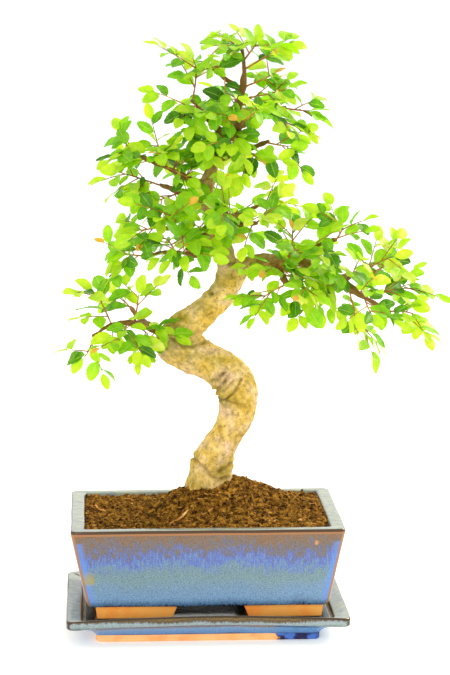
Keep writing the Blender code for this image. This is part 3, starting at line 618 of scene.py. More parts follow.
bm = rounded_plate(POT_BASE_LENGTH - 0.009, POT_BASE_DEPTH - 0.009, POT_UNDER, 0.0042)
worn = stack_rings(bm, POT_BASE_LENGTH - 0.009, POT_BASE_DEPTH - 0.009, pot_rings())
bm.normal_update()
wear_corners(bm, worn, POT_UNDER + 0.0005, POT_RIM - 0.0006, 1.0)
pool_beside_corners(bm, POT_UNDER + 0.0030, POT_RIM - 0.0060)
bow_walls(bm, 0.0004, 3)
# level faces of the rim and inside get the pale glaze, partly a painted reflection
for face in bm.faces:
    middle = face.calc_center_median()
    inside = max(abs(middle.x) / POT_LENGTH, abs(middle.y) / POT_DEPTH) < 0.497
    if middle.z > POT_RIM - 0.0025 or (inside and face.normal.z > 0.1 and middle.z > 0.04):
        face.material_index = 1
bmesh.ops.translate(bm, vec=MIDDLE, verts=bm.verts)
pot_shell = bm

# %% [markdown]
# The four feet are blocks of clay pressed on under the corners. Their inner ends slant in towards
# the table, and their arrises are rubbed soft, so each is a cube that is scaled, slanted by
# moving its lower vertices and bevelled.

# %% Model the feet
FOOT_INNERS = {-1: 0.0222, 1: 0.0262}
FOOT_OUTERS = {-1: 0.0845, 1: 0.0870}
FOOT_DEPTHS = (0.0260, 0.0620)
FOOT_TOP = POT_UNDER + 0.0015
FOOT_SLANT = 0.0045

for side_x in (-1, 1):
    for side_y in (-1, 1):
        foot = bmesh.new()
        bmesh.ops.create_cube(foot, size=1)
        near = Vector((FOOT_INNERS[side_x], FOOT_DEPTHS[0]))
        far = Vector((FOOT_OUTERS[side_x], FOOT_DEPTHS[1]))
        size, middle = far - near, (near + far) / 2
        height = FOOT_TOP - POT_LOW.z
        bmesh.ops.scale(foot, vec=(size.x, size.y, height), verts=foot.verts)
        for vert in foot.verts:
            if vert.co.z < 0:
                vert.co.x += FOOT_SLANT if vert.co.x < 0 else -FOOT_SLANT / 3
                vert.co.y += FOOT_SLANT if vert.co.y < 0 else -FOOT_SLANT / 3
        bmesh.ops.bevel(
            foot,
            geom=foot.edges[:],
            offset=0.0007,
            segments=3,
            profile=0.5,
            affect="EDGES",
            material=-1,
        )
        bmesh.ops.translate(foot, vec=(middle.x, middle.y, POT_LOW.z + height / 2), verts=foot.verts)
        bmesh.ops.scale(foot, vec=(side_x, side_y, 1), verts=foot.verts)
        bmesh.ops.translate(foot, vec=MIDDLE, verts=foot.verts)
        bmesh.ops.recalc_face_normals(foot, faces=foot.faces)
        for face in foot.faces:
            face.material_index = 2
        merge(pot_shell, foot)

pot = make_piece("glazed_pot", pot_shell, [pot_glaze, rim_glaze_and_reflection, clay], "pot")
print("pot", len(pot.data.polygons), "faces")

# %% [markdown]
# ## The drip tray
#
# The tray wears the same glaze as the pot, but its ledges break the flow: the lip's face is pale,
# its upper edge is rubbed brown, and in the hollow under the lip the glaze gathers into a bright
# blue line. Its foot is a bare clay band that the glaze has run over in a few places. It is
# turned out like the pot, from ring to ring, because its section is the same all the way round.

# %% Tray glaze
TRAY_COLOURS = [
    (0.00, "3C4A6E"),
    (0.08, "5084BE"),
    (0.30, "6294C4"),
    (0.40, "5C80A4"),
    (0.47, "54503C"),
    (0.53, "6E7C80"),
    (0.64, "8C9EA2"),
    (0.74, "8898A0"),
    (0.80, "5C503C"),
    (0.88, "4A3816"),
    (0.94, "7A6024"),
    (1.00, "4A3414"),
]
FOOT_BAND_TOP = 0.0052
tray_glaze = wall_glaze("blue_tray_glaze", TRAY_COLOURS, FOOT_BAND_TOP, TRAY_HIGH.z, 0.05, "3C2A10")

# %% Model the tray
TRAY_LENGTH, TRAY_DEPTH = 0.210, 0.159
FOOT_LENGTH, FOOT_DEPTH = 0.168, 0.125
TRAY_FLOOR = 0.0172
TRAY_TOP = TRAY_HIGH.z
LIP_STRETCH = 1.012  # the lip spread a little in the kiln
TRAY_WARP = 0.0032  # and its corners sank by this much


def tray_rings():
    """Rings of (length, depth, z, worn) from the hollow underneath to the tray's floor."""
    hollow_x, hollow_y = FOOT_LENGTH - 0.014, FOOT_DEPTH - 0.014
    foot_x, foot_y, lip_x, lip_y = FOOT_LENGTH, FOOT_DEPTH, TRAY_LENGTH, TRAY_DEPTH
    rings = [
        (hollow_x, hollow_y, 0.0095, 0.0),
        (hollow_x, hollow_y, 0.0006, 0.0),
        (hollow_x + 0.0012, hollow_y + 0.0012, 0.0, 0.0),
        (foot_x - 0.0014, foot_y - 0.0014, 0.0, 0.0),
        (foot_x - 0.0004, foot_y - 0.0004, 0.0004, 0.0),
        (foot_x, foot_y, 0.0012, 0.0),
        (foot_x, foot_y, 0.0040, 0.0),
        (foot_x + 0.0004, foot_y + 0.0004, FOOT_BAND_TOP, 0.4),
        (foot_x + 0.0022, foot_y + 0.0022, 0.0061, 0.0),
        (foot_x + 0.0050, foot_y + 0.0045, 0.0080, 0.0),
        (foot_x + 0.0100, foot_y + 0.0090, 0.0104, 0.0),
        (foot_x + 0.0170, foot_y + 0.0145, 0.0124, 0.0),
        (foot_x + 0.0260, foot_y + 0.0215, 0.0141, 0.0),
    ]
    rings += [
        (lip_x - 0.0050, lip_y - 0.0050, 0.0151, 0.0),
        (lip_x - 0.0020, lip_y - 0.0020, 0.0157, 0.2),
        (lip_x - 0.0006, lip_y - 0.0006, 0.0166, 0.3),
        (lip_x, lip_y, 0.0178, 0.0),
        (lip_x, lip_y, 0.0202, 0.0),
        (lip_x - 0.0004, lip_y - 0.0004, TRAY_TOP - 0.0009, 0.9),
        (lip_x - 0.0016, lip_y - 0.0016, TRAY_TOP - 0.0002, 1.0),
        (lip_x - 0.0034, lip_y - 0.0034, TRAY_TOP - 0.0001, 0.2),
        (lip_x - 0.0100, lip_y - 0.0100, TRAY_TOP - 0.0011, 0.0),
        (lip_x - 0.0200, lip_y - 0.0195, TRAY_TOP - 0.0024, 0.0),
        (lip_x - 0.0226, lip_y - 0.0220, TRAY_TOP - 0.0028, 0.7),
        (lip_x - 0.0240, lip_y - 0.0232, TRAY_TOP - 0.0036, 0.9),
        (lip_x - 0.0256, lip_y - 0.0246, TRAY_FLOOR + 0.0006, 0.3),
        (lip_x - 0.0290, lip_y - 0.0280, TRAY_FLOOR, 0.0),
        (lip_x - 0.0800, lip_y - 0.0700, TRAY_FLOOR, 0.0),
    ]
    return rings


start_x, start_y = FOOT_LENGTH - 0.018, FOOT_DEPTH - 0.018
bm = rounded_plate(start_x, start_y, 0.0115, 0.0042)
worn = stack_rings(bm, start_x, start_y, tray_rings())
bm.normal_update()
wear_corners(bm, worn, 0.0160, TRAY_TOP - 0.0010, 0.8)
bow_walls(bm, 0.00035, 8)
for face in bm.faces:
    middle = face.calc_center_median()
    on_lip = max(abs(middle.x) / TRAY_LENGTH, abs(middle.y) / TRAY_DEPTH) > 0.495
    if middle.z < FOOT_BAND_TOP:
        face.material_index = 2
    # the floor under the pot is painted near-black as shade
    elif face.normal.z > 0.5 and abs(middle.x) < 0.084 and abs(middle.y) < 0.060:
        face.material_index = 3
    # the tray's other level faces get the pale glaze, partly a painted reflection
    elif face.normal.z > 0.5 and middle.z > TRAY_FLOOR - 0.001 and not on_lip:
        face.material_index = 1
bmesh.ops.scale(bm, vec=(LIP_STRETCH, 1, 1), verts=[v for v in bm.verts if v.co.z > 0.014])
for vert in bm.verts:
    lip = min(1.0, max(0.0, (vert.co.z - FOOT_BAND_TOP) / 0.009))
    from_middle = abs(vert.co.x) / (TRAY_LENGTH / 2)
    on_floor = abs(vert.co.x) < 0.090 and abs(vert.co.y) < 0.063
    if not on_floor:
        vert.co.z += lip * (0.0006 - TRAY_WARP * from_middle**2)
lowest = min(vert.co.z for vert in bm.verts)
bmesh.ops.translate(bm, vec=MIDDLE - Vector((0, 0, lowest)), verts=bm.verts)
finishes = [tray_glaze, rim_glaze_and_reflection, tray_clay, under_pot_shade_glaze]
tray = make_piece("glazed_drip_tray", bm, finishes, "drip_tray")
print("tray", len(tray.data.polygons), "faces")

# %% [markdown]
# ## Mesh over the drainage holes
#
# Under the soil two squares of black plastic netting keep it from washing out. The solids already
# have the right shape, so only the finish changes: moulded polyethylene, waxy and almost black.

# %% Netting finish
netting, shader = new_material(
    "moulded_polyethylene_netting", {"Roughness": 0.45, "IOR": 1.51}
)
coords = add_node(netting, "TexCoord").outputs["Object"]
scuff = add_node(netting, "TexNoise", {"Scale": 500.0, "Detail": 2.0}, {"Vector": coords})
tone = add_node(
    netting,
    "ValToRGB",
    links={"Fac": scuff.outputs["Fac"]},
    stops=[(0.35, "17191A"), (0.65, "2C2F31")],
)
join(netting, tone.outputs["Color"], shader.inputs["Base Color"])
for name in ("drain_screen_left", "drain_screen_right"):
    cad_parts[name].data.materials.clear()
    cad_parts[name].data.materials.append(netting)

# %% [markdown]
# ## Potting soil
#
# Bonsai compost is sieved bark and peat: crumbs from half a millimetre to four millimetres, short
# root fibres, and a few pale slivers of bark. A bump map alone would look like brown plaster, so
# the heap is modelled at three scales: a fine grid follows the mound and is roughened by noise,
# loose crumbs lie on it, and thin curled fibres lie between them.

# %% Soil finish
def soil_finish(name, dark, mid, light):
    """Moist peat and bark: very rough, three browns mixed at crumb size, about 4 mm."""
    material, shader = new_material(name, {"Roughness": 0.95, "Specular IOR Level": 0.15})
    coords = add_node(material, "TexCoord").outputs["Object"]
    crumb = add_node(
        material,
        "TexNoise",
        {"Scale": 240.0, "Detail": 5.0, "Roughness": 0.75},
        {"Vector": coords},
    )
    tone = add_node(
        material,
        "ValToRGB",
        links={"Fac": crumb.outputs["Fac"]},
        stops=[(0.40, dark), (0.5, mid), (0.62, light)],
    )
    join(material, tone.outputs["Color"], shader.inputs["Base Color"])
    grain = add_node(
        material, "TexNoise", {"Scale": 1100.0, "Detail": 3.0}, {"Vector": coords}
    )
    bump = add_node(
        material, "Bump", {"Strength": 0.9, "Distance": 0.0008}, {"Height": grain.outputs["Fac"]}
    )
    join(material, bump.outputs["Normal"], shader.inputs["Normal"])
    return material


peat = soil_finish("damp_peat", "221002", "6C440C", "B4822E")
crumbs = soil_finish("peat_crumbs", "3C2202", "8A5C18", "CC9C48")
bark_sliver = soil_finish("pale_bark_slivers", "A86A30", "CC9048", "EEC080")

# %% Soil surface
SOIL_EDGE = 0.0845
SOIL_CORNER = 0.0075
SOIL_CELLS = (190, 132)
soil_length = SOIL_HIGH.x - SOIL_LOW.x
soil_depth = SOIL_HIGH.y - SOIL_LOW.y


def heap_height(x, y):
    """The smooth mound, banked up to the trunk, with a lower shoulder on the right."""
    mound = 0.0190 * math.exp(-(abs((x - 0.002) / 0.033) ** 2.4 + abs((y + 0.006) / 0.029) ** 2.4) / 1.6)
    shoulder = 0.0130 * math.exp(-(((x - 0.040) / 0.028) ** 2 + ((y - 0.010) / 0.026) ** 2) / 2)
    swell = 0.0030 * math.exp(-((x / 0.075) ** 2 + ((y - 0.020) / 0.045) ** 2) / 2)
    return SOIL_EDGE + mound + shoulder + swell


def crumbled(x, y):
    """The height of the rough surface: lumps of 14 mm, crumbs of 4 mm and grains of 1 mm."""
    lumps = noise.noise((x * 70, y * 90, 1.0)) * 0.0016
    crumb = noise.turbulence((x * 230, y * 300, 5.0), 2, False) * 0.0027
    grain = noise.noise((x * 900, y * 1100, 9.0)) * 0.0006
    return heap_height(x, y) + lumps + crumb + grain - 0.0006


bm = bmesh.new()
bmesh.ops.create_grid(bm, x_segments=SOIL_CELLS[0], y_segments=SOIL_CELLS[1], size=0.5)
soil_length, soil_depth = soil_length + 0.0005, soil_depth + 0.0005
bmesh.ops.scale(bm, vec=(soil_length, soil_depth, 1), verts=bm.verts)
for vert in bm.verts:
    over_x = abs(vert.co.x) - (soil_length / 2 - SOIL_CORNER)
    over_y = abs(vert.co.y) - (soil_depth / 2 - SOIL_CORNER)
    if over_x > 0 and over_y > 0:
        pull = max(over_x, over_y) / math.hypot(over_x, over_y)
        vert.co.x -= math.copysign(over_x * (1 - pull), vert.co.x)
        vert.co.y -= math.copysign(over_y * (1 - pull), vert.co.y)
    from_edge = min(soil_length / 2 - abs(vert.co.x), soil_depth / 2 - abs(vert.co.y))
    sink = 0.0006 * max(0.0, 1 - from_edge / 0.003)
    vert.co.z = crumbled(vert.co.x, vert.co.y) - sink
rim = [edge for edge in bm.edges if edge.is_boundary]
grown = bmesh.ops.extrude_edge_only(bm, edges=rim)["geom"]
lower = [e for e in grown if isinstance(e, bmesh.types.BMVert)]
for vert in lower:
    vert.co.z = SOIL_LOW.z + 0.001
    vert.co.x *= 0.88
    vert.co.y *= 0.88
bmesh.ops.edgeloop_fill(
    bm, edges=[e for e in grown if isinstance(e, bmesh.types.BMEdge) and e.is_boundary]
)
bmesh.ops.recalc_face_normals(bm, faces=bm.faces)
soil_bm = bm

# %% Crumbs on the soil
CRUMBS = 2400
rng = random.Random("crumbs")


def soil_spot(rng, margin):
    """A random place on the soil, clear of the pot's wall."""
    x = rng.uniform(-1, 1) * (soil_length / 2 - margin)
    y = rng.uniform(-1, 1) * (soil_depth / 2 - margin)
    return Vector((x, y, crumbled(x, y)))


def add_mesh(bm, mesh, matrix, material_index):
    """Adds a copy of a small mesh to a bmesh, placed by a matrix."""
    first_vert, first_face = len(bm.verts), len(bm.faces)
    bm.from_mesh(mesh)
    bm.verts.ensure_lookup_table()
    bm.faces.ensure_lookup_table()
    verts = bm.verts[first_vert:]
    bmesh.ops.transform(bm, matrix=matrix, verts=verts)
    for face in bm.faces[first_face:]:
        face.material_index = material_index
    return verts


def crumb_mesh(seed):
    """A lump of 20 faces, pushed out of round."""
    lump = bmesh.new()
    bmesh.ops.create_icosphere(lump, subdivisions=1, radius=0.5)
    for vert in lump.verts:
        vert.co *= 0.8 + 0.5 * noise.noise(vert.co * 2.1 + Vector((seed, 0, 0)))
    mesh = bpy.data.meshes.new("crumb")
    lump.to_mesh(mesh)
    lump.free()
    return mesh


def turned(rng, tilt):
    """A random turn about the upright, with a limited tilt."""
    spin = Matrix.Rotation(rng.uniform(0, 2 * math.pi), 4, "Z")
    lean = Matrix.Rotation(rng.uniform(-tilt, tilt), 4, "X")
    return spin @ lean


lumps = [crumb_mesh(seed * 7.3) for seed in range(6)]
for batch in range(CRUMBS // 50):
    patch = bmesh.new()
    for number in range(50):
        size = 0.0008 + 0.0032 * rng.random() ** 3
        place = soil_spot(rng, 0.0012)
        shape = Matrix.Diagonal((size * rng.uniform(0.8, 1.7), size, size * rng.uniform(0.5, 0.9), 1))
        matrix = Matrix.Translation(place) @ turned(rng, 0.7) @ shape
        add_mesh(patch, rng.choice(lumps), matrix, rng.choice((1, 1, 4)))
    merge(soil_bm, patch)
print("soil with crumbs", len(soil_bm.faces), "faces")

# %% [markdown]
# ## Round wood and fibres from one helper
#
# Roots, branches, twigs and soil fibres are all tubes that taper along a bent route. A circle is
# extruded from point to point and each new ring is moved by the matrix that carries one frame to
# the next. The frame is passed along without twisting, so a tube never pinches.

# %% Tube helper
def frames_along(route):
    """For each (x, y, z, radius), a matrix that places and turns a unit circle there."""
    places = [Vector(point[:3]) for point in route]
    side = None
    frames = []
    for index, point in enumerate(route):
        before, after = places[max(index - 1, 0)], places[min(index + 1, len(places) - 1)]
        along = (after - before).normalized()
        side = along.orthogonal() if side is None else side - along * side.dot(along)
        side.normalize()
        turn = Matrix((side, along.cross(side), along)).transposed()
        frames.append(Matrix.LocRotScale(places[index], turn, Vector((point[3],) * 3)))
    return frames


def grow_tube(bm, route, sides):
    """A closed tube along a route of (x, y, z, radius)."""
    frames = frames_along(route)
    ring = bmesh.ops.create_circle(
        bm, cap_ends=True, radius=1, segments=sides, matrix=frames[0]
    )["verts"]
    cap = next(iter(ring[0].link_faces))
    for old, new in zip(frames, frames[1:]):
        cap, verts = extrude_cap(bm, cap)
        bmesh.ops.transform(bm, matrix=new @ old.inverted(), verts=verts)


def smooth_route(points, steps):
    """Points on a smooth curve through a route, with some steps to each stretch."""
    ends = [Vector(point) for point in points]
    ends = [2 * ends[0] - ends[1], *ends, 2 * ends[-1] - ends[-2]]
    route = []
    for a, b, c, d in zip(ends, ends[1:], ends[2:], ends[3:]):
        for step in range(steps):
            t = step / steps
            bend = (2 * a - 5 * b + 4 * c - d) * t**2 + (3 * b - a - 3 * c + d) * t**3
            route.append(0.5 * (2 * b + (c - a) * t + bend))
    return [*route, ends[-2]]


# %% Fibres and bark slivers in the soil
FIBRES = 900
SLIVERS = 120
BARK_CURLS = [
    [(-0.0280, -0.0498), (-0.0203, -0.0456), (-0.0139, -0.0381)],
    [(-0.0126, -0.0423), (-0.0051, -0.0423), (-0.0004, -0.0399), (0.0050, -0.0375)],
    [(-0.0839, 0.0207), (-0.0810, 0.0080), (-0.0763, -0.0018)],
    [(0.0740, -0.0500), (0.0791, -0.0480), (0.0840, -0.0490)],
]
CURL_RADII = [0.0010, 0.0004, 0.0007, 0.0005]
PEBBLE = (0.0709, -0.0390, 0.0046)  # x, y and size

for batch in range(FIBRES // 30):
    patch = bmesh.new()
    for number in range(30):
        place = soil_spot(rng, 0.008)
        heading = rng.uniform(0, 2 * math.pi)
        step = rng.uniform(0.0008, 0.0026)
        radius = rng.uniform(0.00012, 0.0003)
        route = []
        for part in range(5):
            lift = 0.0004 + 0.0007 * rng.random()
            route.append((place.x, place.y, crumbled(place.x, place.y) + lift, radius))
            heading += rng.uniform(-0.5, 0.5)
            place = place + Vector((math.cos(heading), math.sin(heading), 0)) * step
        grow_tube(patch, route, 3)
    for face in patch.faces:
        face.material_index = 3
    merge(soil_bm, patch)

chip = bmesh.new()
bmesh.ops.create_cube(chip, size=1)
long_edges = [edge for edge in chip.edges if abs((edge.verts[0].co - edge.verts[1].co).x) > 0.5]
bmesh.ops.subdivide_edges(chip, edges=long_edges, cuts=3)
for vert in chip.verts:
    vert.co.z += 0.9 * vert.co.x**2
    vert.co.y *= 1 - 1.1 * vert.co.x**2
chip_mesh = bpy.data.meshes.new("chip")
chip.to_mesh(chip_mesh)
chip.free()
patch = bmesh.new()
for number in range(SLIVERS):
    place = soil_spot(rng, 0.006) + Vector((0, 0, 0.0003))
    length = rng.uniform(0.0022, 0.0065)
    shape = Matrix.Diagonal((length, length * rng.uniform(0.2, 0.45), 0.0005, 1))
    matrix = Matrix.Translation(place) @ turned(rng, 0.5) @ shape
    add_mesh(patch, chip_mesh, matrix, 2 if rng.random() < 0.25 else 1)
merge(soil_bm, patch)

patch = bmesh.new()
for curl, radius in zip(BARK_CURLS, CURL_RADII):
    points = [(x, y, crumbled(x, y) + radius + 0.0004, radius) for x, y in curl]
    route = smooth_route(points, 4)
    route[0][3] = route[-1][3] = radius * 0.4
    grow_tube(patch, route, 5)
for face in patch.faces:
    face.material_index = 2
merge(soil_bm, patch)
patch = bmesh.new()
pebble_x, pebble_y, size = PEBBLE
place = Vector((pebble_x, pebble_y, crumbled(pebble_x, pebble_y) + size * 0.2))
add_mesh(patch, lumps[2], Matrix.Translation(place) @ Matrix.Scale(size, 4), 2)
merge(soil_bm, patch)

root_fibre = soil_finish("dry_root_fibre", "5A4008", "94701C", "C8A048")
dark_crumbs = soil_finish("dark_peat_crumbs", "241004", "3E220A", "5E3A12")
bmesh.ops.translate(soil_bm, vec=MIDDLE, verts=soil_bm.verts)
finishes = [peat, crumbs, bark_sliver, root_fibre, dark_crumbs]
soil = make_piece("heaped_potting_soil", soil_bm, finishes, "soil")
print("soil", len(soil.data.polygons), "faces")

# %% [markdown]
# ## Elm bark
#
# A young elm has thin, dry bark: khaki and grey-beige in soft patches, freckled with dark
# lenticels up to 1.5 mm across, olive where algae grow in damp creases. Three noises at 14 mm,
# 4 mm and 1.4 mm make the patches, the mottle and the bump, and a Voronoi pattern makes the
# freckles. Painted attributes bring in painted shade in the folds and knots, the olive tint,
# which is partly algae and partly painted shade at the fork and beside the folds, and the brown
# of young wood, which is also painted shade on the thin branches inside the crown.

# %% Bark finish
LENTICELS_PER_M = 340

bark, shader = new_material("elm_bark", {"Roughness": 0.8, "Specular IOR Level": 0.25})
coords = add_node(bark, "TexCoord").outputs["Object"]
patch = add_node(bark, "TexNoise", {"Scale": 70.0, "Detail": 2.0}, {"Vector": coords})
patches = add_node(
    bark,
    "ValToRGB",
    links={"Fac": patch.outputs["Fac"]},
    stops=[(0.34, "D2AE4A"), (0.46, "E0BE68"), (0.56, "E6C684"), (0.68, "EAC69C")],
)
mottle = add_node(
    bark, "TexNoise", {"Scale": 260.0, "Detail": 4.0, "Roughness": 0.65}, {"Vector": coords}
)
depth = add_node(
    bark,
    "MapRange",
    {"From Min": 0.32, "From Max": 0.6, "To Min": 0.5, "To Max": 1.08},
    {"Value": mottle.outputs["Fac"]},
)
mottled = add_node(
    bark,
    "Mix",
    {"data_type": "RGBA", "blend_type": "MULTIPLY", 0: 1.0},
    {6: patches.outputs["Color"], 7: depth.outputs["Result"]},
)
pores = add_node(
    bark, "TexVoronoi", {"Scale": LENTICELS_PER_M, "Randomness": 1.0}, {"Vector": coords}
)
spot_size = add_node(
    bark,
    "MapRange",
    {"From Min": 0.35, "From Max": 0.7, "To Min": -0.10, "To Max": 0.26},
    {"Value": pores.outputs["Color"]},
)
freckle = add_node(
    bark,
    "Math",
    {"operation": "LESS_THAN"},
    {0: pores.outputs["Distance"], 1: spot_size.outputs["Result"]},
)
freckled = add_node(
    bark,
    "Mix",
    {"data_type": "RGBA", 7: "6A4E18"},
    {6: mottled.outputs[2]},
)
freckle_share = add_node(
    bark, "Math", {"operation": "MULTIPLY", 1: 0.5}, {0: freckle.outputs["Value"]}
)
join(bark, freckle_share.outputs["Value"], freckled.inputs[0])
# olive tint: algae, and painted shade at the fork and beside the folds
moss_and_shade = add_node(bark, "Attribute", {"attribute_name": "moss_and_shade"}).outputs["Fac"]
green = add_node(
    bark, "Mix", {"data_type": "RGBA", 7: "857A1C"}, {0: moss_and_shade, 6: freckled.outputs[2]}
)
# brown of young wood, darker still as painted shade inside the crown
young_wood_and_shade = add_node(bark, "Attribute", {"attribute_name": "young_wood_and_shade"}).outputs["Fac"]
young_tint_and_shade = add_node(
    bark, "Mix", {"data_type": "RGBA", 7: "6E4C18"}, {0: young_wood_and_shade, 6: green.outputs[2]}
)
# painted shade in the folds and knot hollows
shade = add_node(bark, "Attribute", {"attribute_name": "shade"}).outputs["Fac"]
shaded = add_node(
    bark, "Mix", {"data_type": "RGBA", 7: "42320C"}, {0: shade, 6: young_tint_and_shade.outputs[2]}
)
join(bark, shaded.outputs[2], shader.inputs["Base Color"])
grain = add_node(
    bark, "TexNoise", {"Scale": 700.0, "Detail": 5.0, "Roughness": 0.65}, {"Vector": coords}
)
bump = add_node(
    bark, "Bump", {"Strength": 0.9, "Distance": 0.0010}, {"Height": grain.outputs["Fac"]}
)
join(bark, bump.outputs["Normal"], shader.inputs["Normal"])

# %% [markdown]
# ## Trunk and branches
#
# The trunk was bent twice when young, and the branches left it at their own times, so every
# joint has a soft collar. Overlapping tubes give the routes and the thickness at each point. A
# voxel remesh then fuses them into one skin at 0.85 mm and a smoothing pass rounds the collars,
# which would be slow to model by hand. The folds that compression left inside each bend, the old
# knots and the swell of the root base are pressed into that skin afterwards, vertex by vertex.

# %% Routes of the wood
# The trunk's route from its stub in the soil into the left bend: (x, y, z, radius)
LOWER_TRUNK = [
    (0.0010, 0.0000, 0.0800, 0.0150),
    (0.0022, 0.0000, 0.0980, 0.0172),
    (0.0030, 0.0000, 0.1080, 0.0165),
    (0.0062, -0.0005, 0.1240, 0.0156),
    (0.0125, -0.0015, 0.1385, 0.0132),
    (0.0195, -0.0030, 0.1510, 0.0126),
    (0.0250, -0.0045, 0.1650, 0.0142),
    (0.0258, -0.0050, 0.1775, 0.0157),
    (0.0215, -0.0040, 0.1885, 0.0160),
    (0.0120, -0.0010, 0.1975, 0.0146),
    (0.0010, 0.0030, 0.2030, 0.0144),
    (-0.0095, 0.0055, 0.2080, 0.0155),
    (-0.0180, 0.0070, 0.2140, 0.0168),
]

# The swollen knee at the left bend: its middle and radius
KNEE = (-0.0190, 0.0070, 0.2160, 0.0185)

# The trunk's route from inside the knee, through the fork, to the pruned stump in the crown
UPPER_TRUNK = [
    (-0.0200, 0.0070, 0.2160, 0.0160),
    (-0.0140, 0.0060, 0.2275, 0.0138),
    (-0.0045, 0.0040, 0.2365, 0.0114),
    (0.0060, 0.0020, 0.2460, 0.0107),
    (0.0150, 0.0000, 0.2560, 0.0101),
    (0.0180, 0.0000, 0.2680, 0.0090),
    (0.0165, 0.0005, 0.2820, 0.0072),
    (0.0125, 0.0015, 0.2980, 0.0064),
    (0.0070, 0.0020, 0.3150, 0.0060),
    (0.0020, 0.0015, 0.3300, 0.0058),
    (-0.0008, 0.0000, 0.3415, 0.0050),
]

